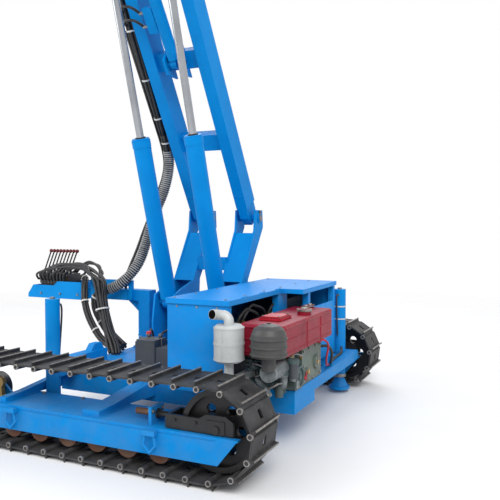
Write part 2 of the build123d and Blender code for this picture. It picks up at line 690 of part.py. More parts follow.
def deck():
    """Slatted platform on a turning cone."""
    y, _ = top_hinge()
    z = deck_level()
    plate = Pos(SLEW_X, y, z + 4 + RUN_GAP) * Cylinder(FLANGE_RADIUS + 60, 30)
    plate -= Pos(SLEW_X, y, z - 10) * Cylinder(FLANGE_RADIUS - 20, 2)
    x0, x1 = SLEW_X - PLATFORM_X / 2, SLEW_X + PLATFORM_X / 2
    y0, y1 = y - PLATFORM_Y / 2, y + PLATFORM_Y / 2
    base = z + 18
    step = (PLATFORM_Y - SLAT) / (SLAT_COUNT - 1)
    for index in range(SLAT_COUNT):
        start = y0 + index * step
        plate += block((x0, x1), (start, start + SLAT), (base, base + SLAT))
    for x in (x0 + 20, SLEW_X - 420, SLEW_X + 370, x1 - 70):
        plate += block((x, x + 50), (y0, y1), (base + SLAT - 1, base + SLAT + 40))
    carrier = z + 18 + SLAT + FEED_AXIS_Z
    for side in (-1, 1):
        xs = SLEW_X + 250 + side * 150
        post = [(y1 - 420, base + 30), (y1, base + 30), (y1 + FEED_AXIS_Y + 70, carrier - 40),
                (y1 + FEED_AXIS_Y + 70, carrier + 60), (y1 + FEED_AXIS_Y - 60, carrier + 60)]
        plate += side_plate(post, xs - 9, xs + 9)
        plate += bar((xs - side * 70, y1 + FEED_AXIS_Y, carrier),
                     (xs + side * 20, y1 + FEED_AXIS_Y, carrier), 24)
    return plate


def guard_rails():
    """Tube rails at both ends of the platform."""
    y, _ = top_hinge()
    z = deck_level() + 18 + SLAT + 40
    y0, y1 = y - PLATFORM_Y / 2 + 30, y + PLATFORM_Y / 2 - 30
    half = RAIL_TUBE / 2
    rails = []
    for end in (-1, 1):
        x = SLEW_X + end * (PLATFORM_X / 2 - 45)
        inner = x - end * 620
        frame = None
        for yy in (y0, (y0 + y1) / 2, y1):
            post = block((x - half, x + half), (yy - half, yy + half), (z, z + RAIL_HEIGHT))
            frame = post if frame is None else frame + post
        for zz in (z + RAIL_HEIGHT / 2, z + RAIL_HEIGHT - RAIL_TUBE):
            frame += block((x - half, x + half), (y0, y1), (zz, zz + RAIL_TUBE))
        post_x = sorted((inner, x))
        frame += block(post_x, (y0 - half, y0 + half),
                       (z + RAIL_HEIGHT - RAIL_TUBE, z + RAIL_HEIGHT))
        frame += block((inner - half, inner + half), (y0 - half, y0 + half), (z - 40, z + RAIL_HEIGHT))
        rails.append(frame)
    return rails


def feed_hinge():
    """X, Y and Z of the feed beam's hinge."""
    y = top_hinge()[0] + PLATFORM_Y / 2 + FEED_AXIS_Y
    return SLEW_X + 250, y, deck_level() + 18 + SLAT + FEED_AXIS_Z


def feed_beam():
    """Drill mast that lies across the platform, with its guide rails."""
    x, y, z = feed_hinge()
    y0, y1 = y - FEED_LENGTH + FEED_REACH, y + FEED_REACH
    half = FEED_WIDTH / 2
    low = z - FEED_HEIGHT / 2
    high = z + FEED_HEIGHT / 2
    beam = block((x - half, x + half), (y0, y1), (low, high))
    beam -= block((x - half + 12, x + half - 12), (y0 - 1, y1 + 1), (low + 12, high - 40))
    beam -= block((x - half + 45, x + half - 45), (y0 - 1, y1 + 1), (high - 41, high + 1))
    for yy in (y0, y1 - 16):
        beam += block((x - half, x + half), (yy, yy + 16), (low - 10, high + 50))
    beam -= bar((x - 200, y, z), (x + 200, y, z), 24 + RUN_GAP)
    return beam


def drill_head():
    """Rotary head on its sledge, with its motor."""
    x, y, z = feed_hinge()
    high = z + FEED_HEIGHT / 2 + RUN_GAP
    middle = y - 900
    head = block((x - 110, x + 110), (middle - 180, middle + 180), (high, high + 26))
    head += block((x - 90, x + 90), (middle - 120, middle + 120), (high + 25, high + 200))
    head += bar((x, middle - 260, high + 120), (x, middle - 119, high + 120), 62)
    head -= bar((x, middle + 60, high + 120), (x, middle + 130, high + 120), 40 + RUN_GAP)
    return head


def chuck():
    """Turning chuck of the drill head, open for the drill rod."""
    x, y, z = feed_hinge()
    high = z + FEED_HEIGHT / 2 + RUN_GAP + 120
    middle = y - 900
    body = bar((x, middle + 61, high), (x, middle + 130, high), 40)
    body += bar((x, middle + 126, high), (x, middle + 240, high), 66)
    return body - bar((x, middle + 90, high), (x, middle + 260, high), 30)


def head_guard():
    """Rounded frame over the outer end of the feed beam."""
    x, y, z = feed_hinge()
    high = z + FEED_HEIGHT / 2
    guards = None
    for yy in (y + 120, y + 500):
        path = FilletPolyline((x - GUARD_REACH, yy, high - 40), (x - GUARD_REACH, yy, high + 330),
                              (x + GUARD_REACH, yy, high + 330), (x + GUARD_REACH, yy, high - 40),
                              radius=90)
        profile = Plane(origin=path @ 0, z_dir=path % 0) * Circle(17)
        hoop = sweep(profile, path)
        guards = hoop if guards is None else guards + hoop
    for xx in (x - GUARD_REACH, x + GUARD_REACH):
        guards += bar((xx, y + 120, high + 160), (xx, y + 500, high + 160), 14)
        guards += block(sorted((xx, x + (90 if xx > x else -90))), (y + 100, y + 140),
                        (high - 60, high - 30))
        guards += block(sorted((xx, x + (90 if xx > x else -90))), (y + 480, y + 520),
                        (high - 60, high - 30))
    return guards


# Cabinet and engine

def cabinet_panels():
    """Sheet walls of the cabinet on the chassis, open towards the engine."""
    x0, x1 = CABINET_X
    far, mid, near = CABINET_Y
    z0, z1 = DECK_Z, CABINET_Z - SHEET - RUN_GAP
    corner = mid - 120
    walls = block((x0, x1), (near - SHEET, near), (z0, z1))
    walls += block((x1 - SHEET, x1), (far, near), (z0, z1))
    walls += block((CABINET_FAR_X, x1), (far, far + SHEET), (z0, z1))
    walls += block((CABINET_FAR_X, CABINET_FAR_X + SHEET), (far, corner), (z0, z0 + 390))
    walls += block((x0, x0 + SHEET), (corner, mid), (z0, z1))
    for x, y in ((x0, near - 40), (x0, mid), (CABINET_FAR_X, far), (CABINET_FAR_X, corner - 40)):
        walls += block((x, x + 40), (y, y + 40), (z0, z1))
    walls += block((x0, x1), (far, near), (z0, z0 + SHEET))
    walls += block((CABINET_FAR_X, x0 + 1), (far, corner), (z0, z0 + SHEET))
    return walls


def cabinet_top():
    """Bent top sheet with a lip all round, stepped round the engine."""
    x0, x1 = CABINET_X
    far, mid, near = CABINET_Y

    def outline(reach):
        return [(x0 - reach, near + reach), (x1 + reach, near + reach), (x1 + reach, far - reach),
                (CABINET_FAR_X - reach, far - reach), (CABINET_FAR_X - reach, mid - 10 + reach),
                (x0 - reach, mid - 10 + reach)]

    lip = flat_plate(outline(10), CABINET_Z - 30, CABINET_Z)
    lip -= flat_plate(outline(6), CABINET_Z - 31, CABINET_Z - SHEET)
    return lip - block((x1 + 6, x1 + 11), (far - 11, near + 11), (CABINET_Z - 31, CABINET_Z + 1))


def pump_set():
    """Oil tank, pump and motor bell inside the cabinet."""
    z0 = DECK_Z + SHEET + RUN_GAP
    unit = block(OIL_TANK_X, OIL_TANK_Y, (z0, OIL_TANK_TOP))
    unit = fillet(unit.edges().filter_by(Axis.Z), 24)
    end = OIL_TANK_Y[1] - 1
    unit += block((OIL_TANK_X[0] + 40, OIL_TANK_X[1] - 10), (end, 600), (z0, z0 + 90))
    unit += bar((-520, end, z0 + 170), (-520, 40, z0 + 170), 88)
    unit += bar((-520, 39, z0 + 170), (-520, 330, z0 + 170), 112)
    unit += bar((-520, 329, z0 + 170), (-520, 480, z0 + 170), 64)
    return unit


def engine_block():
    """Single-cylinder engine: crankcase, cylinder, head, belt wheel and oil filter."""
    z0 = DECK_Z + RUN_GAP
    top = TANK_Z[0] - RUN_GAP
    y0, y1 = BLOCK_Y
    case_end = COVER_Y[1] + 15
    body = block((-975, -800), (y0 + 20, case_end), (z0, top))
    body += block((-960, -815), (case_end - 1, y1 - 60), (z0 + 40, top - 22))
    for index in range(6):
        y = case_end + 14 + index * 20
        body += block((-985, -795), (y, y + 8), (z0 + 20, top - 4))
    body += block((-970, -790), (y1 - 61, y1), (z0 + 20, top - 30))
    body += bar((-880, y1 - 1, 420), (-880, y1 + 45, 420), 62)
    body += bar((-990, 452, 400), (-950, 452, 400), 16)
    body += bar((-1012, 452, 400), (-984, 452, 400), 66)
    body -= bar((-1013, 452, 400), (-1004, 452, 400), 52)
    body += bar((-1014, 452, 400), (-984, 452, 400), 18)
    body += bar((-930, 560, z0), (-930, 560, z0 + 60), 34)
    return body


def engine_cover():
    """Flat cover on the crankcase, with its round boss."""
    z0 = DECK_Z + RUN_GAP
    x = -975 - RUN_GAP
    cover = block((x - 20, x), COVER_Y, (z0, TANK_Z[0] - 8))
    cover = fillet(cover.edges().filter_by(Axis.X), 22)
    middle = sum(COVER_Y) / 2
    cover += bar((x - 34, middle - 70, 430), (x - 19, middle - 70, 430), 44)
    return cover + bar((x - 30, middle + 90, 400), (x - 19, middle + 90, 400), 26)


def fuel_tank():
    """Fuel and water tank over the engine, with its filler and caps."""
    tank = block(TANK_X, TANK_Y, TANK_Z)
    tank = fillet(tank.edges().filter_by(Axis.Z), 26)
    tank = fillet(tank.edges().group_by(Axis.Z)[-1], 18)
    middle = sum(TANK_X) / 2
    high = TANK_Z[1]
    tank += block((middle - 55, middle + 75), (430, 600), (high - 1, high + 18))
    for x, y, radius, rise in ((-960, 250, 42, 34), (-890, 30, 24, 22), (-890, -50, 24, 22)):
        tank += Pos(x, y, high - 1 + rise / 2) * Cylinder(radius, rise)
    return tank


def air_cleaner():
    """Domed air cleaner beside the tank, with its clamp ribs."""
    place = Pos(*CLEANER, 0)
    profile = [(0, 575), (40, 575), (46, 590), (92, 592), (94, 600), (99, 606), (94, 612),
               (94, 640), (99, 646), (94, 652), (94, 682), (99, 688), (94, 694), (92, 712),
               (80, 738), (56, 755), (26, 764), (0, 766)]
    face = make_face(Polyline(*[(r, 0, z) for r, z in profile], close=True))
    drum = revolve(face, Axis.Z)
    foot = Pos(0, 0, 548) * Cylinder(38, 60)
    arm = block((-40, 40), (BLOCK_Y[1] - CLEANER[1] + RUN_GAP, 0), (480, 525))
    return place * (drum + foot + arm)


def muffler():
    """Muffler with its elbow outlet."""
    place = Pos(*MUFFLER, 0)
    drum = Pos(0, 0, 645) * Cylinder(MUFFLER_RADIUS, MUFFLER_HEIGHT)
    drum = chamfer(drum.edges().filter_by(GeomType.CIRCLE), 14)
    neck = Pos(0, 0, 480) * Cylinder(26, 140)
    path = FilletPolyline((0, 0, 740), (0, 0, 794), (78, 0, 794), radius=34)
    out = sweep(Plane(origin=path @ 0, z_dir=path % 0) * Circle(27), path)
    out -= bar((40, 0, 794), (80, 0, 794), 22)
    feed = block((-40 + RUN_GAP, 18), (-330, 0), (420, 450))
    return place * (drum + neck + out + feed)


def battery_box():
    """Battery in its open frame beside the boom, with the darker box behind it."""
    box = block((-100, 50), (430, 585), (DECK_Z, 548))
    box = fillet(box.edges().filter_by(Axis.Z), 10)
    box += block((-92, 42), (438, 577), (547, 560))
    for x in (-70, 20):
        box += Pos(x, 470, 566) * Cylinder(11, 14)
    return box + block((-190, -112 + 13), (440, 575), (DECK_Z, 520))


# Console

def console_post():
    """Post and arm that carry the control trough, with the hose guard."""
    low, high = ARM_Z
    middle = sum(POST_Y) / 2
    post = block(POST_X, POST_Y, (DECK_Z, low + 1))
    post += block((POST_X[0] - 25, POST_X[1] + 30), (POST_Y[0] - 15, POST_Y[1] + 30),
                  (DECK_Z, DECK_Z + 14))
    arm = [(POST_X[0], low), (ARM_REACH, low), (ARM_REACH, high), (POST_X[0], high)]
    post += long_plate(arm, middle - 45, middle + 45)
    rib = [(POST_X[1] - 1, low - 110), (POST_X[1] - 1, low + 1), (POST_X[1] + 130, low + 1)]
    post += long_plate(rib, middle - 6, middle + 6)
    rail_y = (middle + 44, middle + 74)
    post += block(GUARD_X, rail_y, (low - 16, GUARD_Z[1]))
    post += block((GUARD_REACH_X, GUARD_X[1]), rail_y, GUARD_Z)
    post += block((GUARD_REACH_X, GUARD_REACH_X + 30), rail_y, (low + 10, GUARD_Z[1]))
    return post


def control_table():
    """Open trough at the end of the arm, lower and bevelled at its outer end."""
    y0, y1 = TROUGH_Y
    low, high = TROUGH_Z
    x0, x1 = ARM_REACH, TROUGH_X
    step = x0 + 280
    side = [(x0, low), (x1, low), (x1, low + 30), (x1 - 55, high - 35), (step, high - 35),
            (step - 40, high), (x0, high)]
    trough = long_plate(side, y0, y1)
    return trough - block((x0 + SHEET, x1 - 68), (y0 + SHEET, y1 - SHEET), (low + SHEET, high + 1))


def valve_bank():
    """Row of control valves with their levers."""
    y0, y1 = TROUGH_Y
    low = TROUGH_Z[0] + SHEET + RUN_GAP
    middle = (y0 + y1) / 2
    start = TROUGH_X - VALVE_END
    bank = block((start - LEVER_PITCH * LEVER_COUNT, start), (middle - 60, middle + 60), (low, low + 110))
    for index in range(LEVER_COUNT):
        x = start - LEVER_PITCH * (index + 0.5)
        bank += block((x - VALVE_WIDTH / 2, x + VALVE_WIDTH / 2), (middle - 75, middle + 75),
                      (low + 109, low + 190))
        bank += bar((x, middle + 30, low + 188), (x, middle + 30, low + 225), 11)
        bank += bar((x, middle + 30, low + 220), (x - 80, middle + 44, low + 372), 6)
        bank += Pos(x - 83, middle + 44, low + 378) * Sphere(15)
    return bank


# Jacks

def jack_tubes():
    """Jack cylinders, each with its arm to the chassis."""
    tubes = {}
    for name, x, y, top in JACKS:
        side = 1 if y > 0 else -1
        low = JACK_TUBE_BOTTOM
        case = tube((x, y, low), (x, y, top), JACK_RADIUS, JACK_LEG_RADIUS + RUN_GAP)
        case += bar((x, y, top - 20), (x, y, top), JACK_RADIUS)
        if x > 0:
            arm_x = (x - JACK_ARM / 2 - 5, x + JACK_ARM / 2 - 5)
            arm_y = sorted((side * JACK_ARM_INNER, y))
            arm_z = (DECK_Z, DECK_Z + JACK_ARM_HEIGHT)
            case += block(arm_x, arm_y, arm_z)
            hump = [(side * (JACK_ARM_INNER + 10), arm_z[1] - 1),
                    (side * (JACK_ARM_INNER + 150), arm_z[1] - 1),
                    (side * (JACK_ARM_INNER + 110), arm_z[1] + 45),
                    (side * (JACK_ARM_INNER + 40), arm_z[1] + 45)]
            case += side_plate(hump, x - 30, x + 20)
        else:
            case += block((REAR_X[0] + 5, x), (y - 30, REAR_FAR_Y),
                          (DECK_Z - REAR_HEIGHT + 3, DECK_Z - 3))
        case -= bar((x, y, low - 1), (x, y, top - 30), JACK_LEG_RADIUS + RUN_GAP)
        tubes[name] = case
    return tubes


def jack_legs():
    """Sliding legs with their feet."""
    legs = {}
    for name, x, y, top in JACKS:
        leg = bar((x, y, JACK_REST + 20), (x, y, top - 40), JACK_LEG_RADIUS)
        foot = bar((x, y, JACK_REST), (x, y, JACK_REST + 22), JACK_FOOT_RADIUS)
        cone = extrude(Plane(origin=(x, y, JACK_REST + 21)) * Circle(JACK_FOOT_RADIUS - 14),
                       amount=60, taper=24)
        legs[name] = leg + foot + cone
    return legs


# Hoses

def hose(points, radius):
    """Tube along straight runs joined by arcs of 0.45 of the shorter run."""
    spots = [Vector(*p) for p in points]
    radii = []
    for a, b, c in zip(spots, spots[1:], spots[2:]):
        turn = math.radians((b - a).get_angle(c - b))
        radii.append(0.45 * min((b - a).length, (c - b).length) / math.tan(turn / 2))
    path = FilletPolyline(*points, radius=radii)
    tube_solid = sweep(Plane(origin=path @ 0, z_dir=path % 0) * Circle(radius), path)
    share = tube_solid.volume / (math.pi * radius ** 2 * path.length)
    print("hose", round(path.length), "mm, volume share", round(share, 4), "radii",
          [round(r) for r in radii])
    return tube_solid


def bundle_x(beside=0.0):
    """X of the hoses clipped to the outer side of the boom beam at the drive end."""
    return SLEW_X + BEAM_OFFSET + BUNDLE_SIDE + beside


def clamped_hoses():
    """Hose bundle and a thin hose clipped along the boom beam."""
    start = boom_point(SLEEVE_TOP, BUNDLE_OFFSET)
    end = boom_point(BOOM_LENGTH - 190, BUNDLE_OFFSET)
    turn = boom_point(THIN_END, BUNDLE_OFFSET)
    x = bundle_x(BUNDLE_RADIUS + THIN_RADIUS + 4)
    return [bar((bundle_x(), *start), (bundle_x(), *end), BUNDLE_RADIUS),
            bar((x, *start), (x, *turn), THIN_RADIUS)]


def boom_hose_loop():
    """Free bundle from the boom, round the hose guard and down to the chassis."""
    top = boom_point(SLEEVE_TOP, BUNDLE_OFFSET)
    down = boom_point(SLEEVE_TOP - 170, BUNDLE_OFFSET)
    rest = DECK_Z + BUNDLE_RADIUS + RUN_GAP
    return hose([(bundle_x(), *top), (bundle_x(), *down), (432, -400, 1590), (500, -330, 1370),
                 (548, -290, 1160), (570, -232, 1000), (618, -165, 892), (700, -124, 812),
                 (800, -114, 775), (905, -112, 735), (908, -106, 630), (825, -95, 520),
                 (715, -62, 425), (580, -20, rest)], BUNDLE_RADIUS)


def thin_hose_loop():
    """Thin hose that hangs beside the bundle, down to the arm of the console."""
    x = bundle_x(BUNDLE_RADIUS + THIN_RADIUS + 4)
    top = boom_point(SLEEVE_TOP, BUNDLE_OFFSET)
    down = boom_point(SLEEVE_TOP - 165, BUNDLE_OFFSET)
    return hose([(x, *top), (x, *down), (478, -440, 1690), (530, -420, 1530), (585, -398, 1370),
                 (635, -372, 1230), (672, -340, 1090), (704, -300, 975), (730, -262, 870),
                 (730, -262, ARM_Z[1] + RUN_GAP)], THIN_RADIUS)


def return_hoses():
    """Hoses from the valves, over the guard, down to the chassis."""
    rest = DECK_Z + RETURN_RADIUS + RUN_GAP
    return hose([(VALVE_X - RUN_GAP, -265, 850), (1160, -265, 850), (1062, -178, 866),
                 (1004, -98, 800), (975, -58, 690), (905, -12, 585), (815, 18, 485),
                 (715, 48, 405), (580, 76, rest)], RETURN_RADIUS)


def all_nodes():
    """Every piece by its node name, in the frame of the tracks."""
    nodes = {
        "track_left": track(1),
        "track_right": track(-1),
        "idler_wheels": idler_wheels(),
        "idler_yokes": idler_yokes(),
        "drive_sprockets": sprockets(),
        "drive_hubs": drive_hubs(),
        "track_rollers": track_rollers(),
        "track_frames": track_frames(),
        "lifting_rings": lifting_rings(),
        "chassis_frame": chassis_frame(),
        "engine_tray": engine_tray(),
        "slew_ring": slew_ring(),
        "boom_stand": boom_stand(),
        "boom_frame": boom_frame(),
        "lift_barrels": lift_barrels(),
        "lift_rods": lift_rods(),
        "level_barrel": level_barrel(),
        "level_rod": level_rod(),
        "platform_head": platform_head(),
        "platform_deck": deck(),
        "guard_rails": guard_rails(),
        "feed_beam": feed_beam(),
        "drill_head": drill_head(),
        "drill_chuck": chuck(),
        "head_guard": head_guard(),
        "cabinet_panels": cabinet_panels(),
        "cabinet_top": cabinet_top(),
        "pump_set": pump_set(),
        "engine_block": engine_block(),
        "engine_cover": engine_cover(),
        "fuel_tank": fuel_tank(),
        "air_cleaner": air_cleaner(),
        "muffler": muffler(),
        "battery_box": battery_box(),
        "console_post": console_post(),
        "control_table": control_table(),
        "valve_bank": valve_bank(),
        "boom_hose_clamped": clamped_hoses(),
        "boom_hose_loop": boom_hose_loop(),
        "boom_hose_thin": thin_hose_loop(),
        "console_hoses": return_hoses(),
    }
    for name, shape in jack_tubes().items():
        nodes["jack_tube_" + name] = shape
    for name, shape in jack_legs().items():
        nodes["jack_leg_" + name] = shape
    return {name: Compound(shape) if isinstance(shape, list) else shape
            for name, shape in nodes.items()}


def ground_middle(nodes):
    """Middle of the whole rig's box, on the ground: the origin of the part."""
    boxes = [shape.bounding_box() for shape in nodes.values()]
    x = (min(b.min.X for b in boxes) + max(b.max.X for b in boxes)) / 2
    y = (min(b.min.Y for b in boxes) + max(b.max.Y for b in boxes)) / 2
    z = min(b.min.Z for b in boxes)
    return x, y, z


def main():
    os.makedirs("parts", exist_ok=True)
    nodes = all_nodes()
    x, y, z = ground_middle(nodes)
    for name, shape in nodes.items():
        export_step(Pos(-x, -y, -z) * shape, f"parts/{name}.step")


if __name__ == "__main__":
    main()
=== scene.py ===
import json
import math
import random

import bmesh
import bpy
from bpy.props import FloatProperty, FloatVectorProperty, IntProperty, PointerProperty
from mathutils import Matrix, Vector


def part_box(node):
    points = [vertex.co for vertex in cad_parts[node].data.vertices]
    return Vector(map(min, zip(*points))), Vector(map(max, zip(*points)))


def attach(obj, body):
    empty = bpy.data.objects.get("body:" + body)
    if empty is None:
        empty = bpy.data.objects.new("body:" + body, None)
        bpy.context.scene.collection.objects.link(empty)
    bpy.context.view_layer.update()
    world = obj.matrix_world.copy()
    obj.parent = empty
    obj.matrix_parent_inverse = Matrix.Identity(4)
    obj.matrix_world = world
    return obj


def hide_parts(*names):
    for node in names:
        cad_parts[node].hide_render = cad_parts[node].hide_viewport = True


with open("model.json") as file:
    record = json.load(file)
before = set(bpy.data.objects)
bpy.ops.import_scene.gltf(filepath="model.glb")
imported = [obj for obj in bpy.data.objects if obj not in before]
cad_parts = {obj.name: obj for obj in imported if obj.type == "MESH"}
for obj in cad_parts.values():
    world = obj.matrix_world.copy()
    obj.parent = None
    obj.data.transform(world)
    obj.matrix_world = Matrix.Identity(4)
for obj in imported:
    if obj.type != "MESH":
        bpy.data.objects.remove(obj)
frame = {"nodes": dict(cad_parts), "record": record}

bl_info = {
    "name": "Anchor drilling rig",
    "version": (1, 0, 0),
    "blender": (4, 5, 0),
    "location": "View3D > Sidebar > Rig",
    "description": "Dresses the packed anchor drilling rig: paint, fasteners, hoses, stage",
    "category": "Object",
}

SEED = 3029
X, Y, Z = Vector((1, 0, 0)), Vector((0, 1, 0)), Vector((0, 0, 1))
SIDES = (1, -1)


# Settings

class RigPaintSettings(bpy.types.PropertyGroup):
    """Colours and wear of the rig's finishes."""
    blue: FloatVectorProperty(name="Blue", description="Main paint, linear colour",
                              default=(0.0, 0.22, 0.58), size=3, subtype="COLOR", min=0, max=1)
    tank: FloatVectorProperty(name="Tank red", description="Weathered red of the tank",
                              default=(0.27, 0.008, 0.026), size=3, subtype="COLOR", min=0, max=1)
    teal: FloatVectorProperty(name="Engine teal", description="Dark castings of the engine",
                              default=(0.016, 0.05, 0.058), size=3, subtype="COLOR", min=0, max=1)
    grime: FloatProperty(name="Grime", description="How much dust lies on the blue paint",
                         default=0.16, min=0, max=1, subtype="FACTOR")
    grime_top: FloatProperty(name="Grime height", description="Where the dust fades out",
                             default=0.75, min=0.1, max=3, unit="LENGTH")


class RigCameraSettings(bpy.types.PropertyGroup):
    """Where the photographer stood, from the middle of the tracks."""
    place: FloatVectorProperty(name="Place", description="Eye point",
                               default=(-2.292, 3.889, 1.28), size=3, unit="LENGTH")
    heading: FloatVectorProperty(name="Heading", description="Level direction of view",
                                 default=(0.4226, -0.9063), size=2)
    dip: FloatProperty(name="Dip", description="Downward tilt", default=math.radians(2.25),
                       subtype="ANGLE", unit="ROTATION")
    lens: FloatProperty(name="Lens", description="Focal length in millimetres", default=45.9,
                        min=10)


class RigBoomSettings(bpy.types.PropertyGroup):
    """Hinge and lean of the boom, from the middle of the tracks."""
    slew: FloatVectorProperty(name="Slew axis", description="Middle of the turning plate",
                              default=(0.075, -0.3), size=2, unit="LENGTH")
    knee: FloatVectorProperty(name="Hinge", description="Y and Z of the boom's hinge",
                              default=(-0.72, 1.335), size=2, unit="LENGTH")
    lean: FloatProperty(name="Lean", description="From upright, towards the engine",
                        default=math.radians(31.5), subtype="ANGLE", unit="ROTATION")
    length: FloatProperty(name="Length", description="Between the hinges", default=3.15,
                          unit="LENGTH")
    spread: FloatProperty(name="Spread", description="Each beam from the middle", default=0.21,
                          unit="LENGTH")


class RigTrackSettings(bpy.types.PropertyGroup):
    """The hinge line that the shoes follow."""
    reach: FloatProperty(name="Wheel reach", description="Wheel axes from the middle",
                         default=0.835, unit="LENGTH")
    height: FloatProperty(name="Wheel height", description="Wheel axes over the ground",
                          default=0.262, unit="LENGTH")
    pin_radius: FloatProperty(name="Pin radius", description="Hinge line round the wheels",
                              default=0.225, unit="LENGTH")
    plane: FloatProperty(name="Track plane", description="Middle of each track from the machine's",
                         default=1.09, unit="LENGTH")
    shoes: IntProperty(name="Shoes", description="Shoes in each track", default=37, min=8)


class RigHoseSettings(bpy.types.PropertyGroup):
    """Sizes of the hoses, as in the part's solids."""
    bundle: FloatProperty(name="Bundle", description="Radius of the boom's hose bundle",
                          default=0.036, unit="LENGTH")
    thin: FloatProperty(name="Thin hose", description="Radius of the thin hose", default=0.011,
                        unit="LENGTH")
    feed: FloatProperty(name="Valve hoses", description="Radius of the bundle from the valves",
                        default=0.027, unit="LENGTH")
    side: FloatProperty(name="Bundle place", description="From the boom's middle, across",
                        default=0.316, unit="LENGTH")
    front: FloatProperty(name="Bundle front", description="From the boom's middle line forwards",
                         default=0.02, unit="LENGTH")
    free_from: FloatProperty(name="Free from", description="Station where the bundle leaves it",
                             default=0.76, unit="LENGTH")


class RigFastenerSettings(bpy.types.PropertyGroup):
    """Sizes of ties on the free hoses."""
    tie: FloatProperty(name="Tie width", description="Width of a cable tie", default=0.012,
                       unit="LENGTH")


SETTINGS = {
    "rig_paint": RigPaintSettings, "rig_camera": RigCameraSettings, "rig_boom": RigBoomSettings,
    "rig_track": RigTrackSettings, "rig_hose": RigHoseSettings,
    "rig_fastener": RigFastenerSettings,
}


# Measured places. Unless a comment says otherwise they are X, Y and Z from the middle of the
# tracks on the ground, in metres, as in the part's solids.

# Lamp: name, place, power, size.
LAMPS = (("key_light", (-4.5, 5.5, 6.5), 560, 5.0), ("fill_light", (5.5, 4.0, 4.0), 260, 5.0),
         ("back_light", (2.0, -6.5, 6.5), 300, 5.0))
LAMP_TARGET = (0, 0, 1.2)
FLOOR_HALF, FLOOR_FADE = 40, (3.0, 9.0)

# Routes of the free hoses below the boom or from the valves.
BUNDLE_ROUTE = ((0.432, -0.4, 1.59), (0.5, -0.33, 1.37), (0.548, -0.29, 1.16), (0.57, -0.232, 1.0),
                (0.618, -0.165, 0.892), (0.7, -0.124, 0.812), (0.8, -0.114, 0.775),
                (0.905, -0.112, 0.735), (0.908, -0.106, 0.63), (0.825, -0.095, 0.52),
                (0.715, -0.062, 0.425), (0.58, -0.02, 0.3663))
THIN_ROUTE = ((0.478, -0.44, 1.69), (0.53, -0.42, 1.53), (0.585, -0.398, 1.37),
              (0.635, -0.372, 1.23), (0.672, -0.34, 1.09), (0.704, -0.3, 0.975),
              (0.73, -0.262, 0.87), (0.73, -0.262, 0.7753))
VALVE_ROUTE = ((1.16, -0.265, 0.85), (1.062, -0.178, 0.866), (1.004, -0.098, 0.8),
               (0.975, -0.058, 0.69), (0.905, -0.012, 0.585), (0.815, 0.018, 0.485),
               (0.715, 0.048, 0.405), (0.58, 0.076, 0.3573))
HOSES_IN_BUNDLE = 7
# Where ties and the ribbed sleeve lie, as shares of a hose's line.
BUNDLE_TIES, VALVE_TIES, SLEEVE = (0.012, 0.64, 0.72, 0.87), (0.24, 0.5, 0.8), (0.03, 0.6)
RIB_PITCH = 0.0165
# Stations on the boom: from where the bundle is clipped, how far short of the top hinge it
# ends, where the thin hose beside it turns off, and its ties.
CLIPPED_FROM, CLIPPED_SHORT, THIN_STATIONS = 0.7603, 0.19, (1.1, 1.56)
CLIP_STATIONS = (0.9, 1.2, 1.56, 1.87, 2.18, 2.5, 2.82)

# A shoe's worn edge from its start: along the shoe and outwards.
GROUSER_EDGE = ((0.0093, 0.0371), (0.0189, 0.0371), (0.0189, 0.0325), (0.0093, 0.0325))

# Ends of the shoes' hinge tubes and of the worn edges, from the track's middle plane.
TUBE_END, EDGE_END = 0.15, 0.146
# Faces with bolt rings, from that plane: idler hub, motor flange, motor cap, sprocket.
HUB_FACE, FLANGE_FACE, CAP_FACE, SPROCKET_FACE = 0.055, 0.062, 0.084, -0.034

# Track frames: height of the top plate, of the yoke's bolts, side of the yoke from the plane.
PLATE_TOP, YOKE_BOLT_Z, YOKE_SIDE = 0.245, 0.295, 0.0713
# Yoke from the side: X of its bolts, corners of its cap in X and Z, the axle's end in X and Z,
# and the start and height of its weld.
YOKE_BOLT_XS, YOKE_CAP = (-0.72, -0.6), ((-0.885, 0.253), (-0.785, 0.318))
AXLE_END, YOKE_WELD = (-0.835, 0.275), (-0.55, 0.258, 0.058)
# Bracket of the tension screw: X of its faces and the way each looks; its bolts' Y and height.
BRACKET_FACES, BRACKET_BOLTS = ((-0.452, -1), (-0.434, 1)), ((-0.045, 0.312), (0.045, 0.312))
# Welds of the cross beams on the top plate: X, start and length across; X and Y of its bolts.
PLATE_WELDS, PLATE_WELD_Y = (-0.115, -0.005, 0.558, 0.606), (0.89, 0.258)
PLATE_BOLTS, PLATE_BOLT_Y = (-0.87, -0.3, 0.2, 0.5), 0.9
# Outer weld: start and length along X, Y from the middle, height.
OUTER_WELD = (-0.84, 1.43, 1.186, 0.232)
# Tension screw: start, height, thread's pitch, turns, radius in and out of the thread.
SCREW_X, SCREW_Z, THREAD, TURNS, SCREW_RADII = -0.4215, 0.292, 0.003, 34, (0.0172, 0.0184)
DECK_BOLT_Z, STAND_BOLT_Z = 0.33, 0.3983
# Stand's bolts: circle, count, and the footprint of a leg that hides one.
STAND_CIRCLE, STAND_BOLTS, LEG_HALF_Y, LEG_HALF_X = 0.318, 24, 0.225, 0.12

# Lift cylinders: Y and Z of the lower pins, station and offset of the upper ones on the boom.
LIFT_FOOT = (-0.2, 0.7)
LIFT_EYE = (2.25, 0.132)
# Along a lift cylinder from its lower pin: gland, its face, wiper, ports; then its pipe's
# places along and off the barrel.
GLAND, GLAND_FACE, WIPER, LIFT_PORTS = 1.2, 1.233, 1.24, (0.10, 1.15)
LIFT_PIPE = ((1.15, 0.1), (1.10, 0.094), (1.02, 0.078), (0.5, 0.077), (0.16, 0.08))
# Pins on the boom from a beam's middle: cheek of the lift cylinder's eye, and its keeper's bolt.
EYE_CHEEK, KEEPER_BOLT = 0.0585, (0.056, 2.285, 0.115)
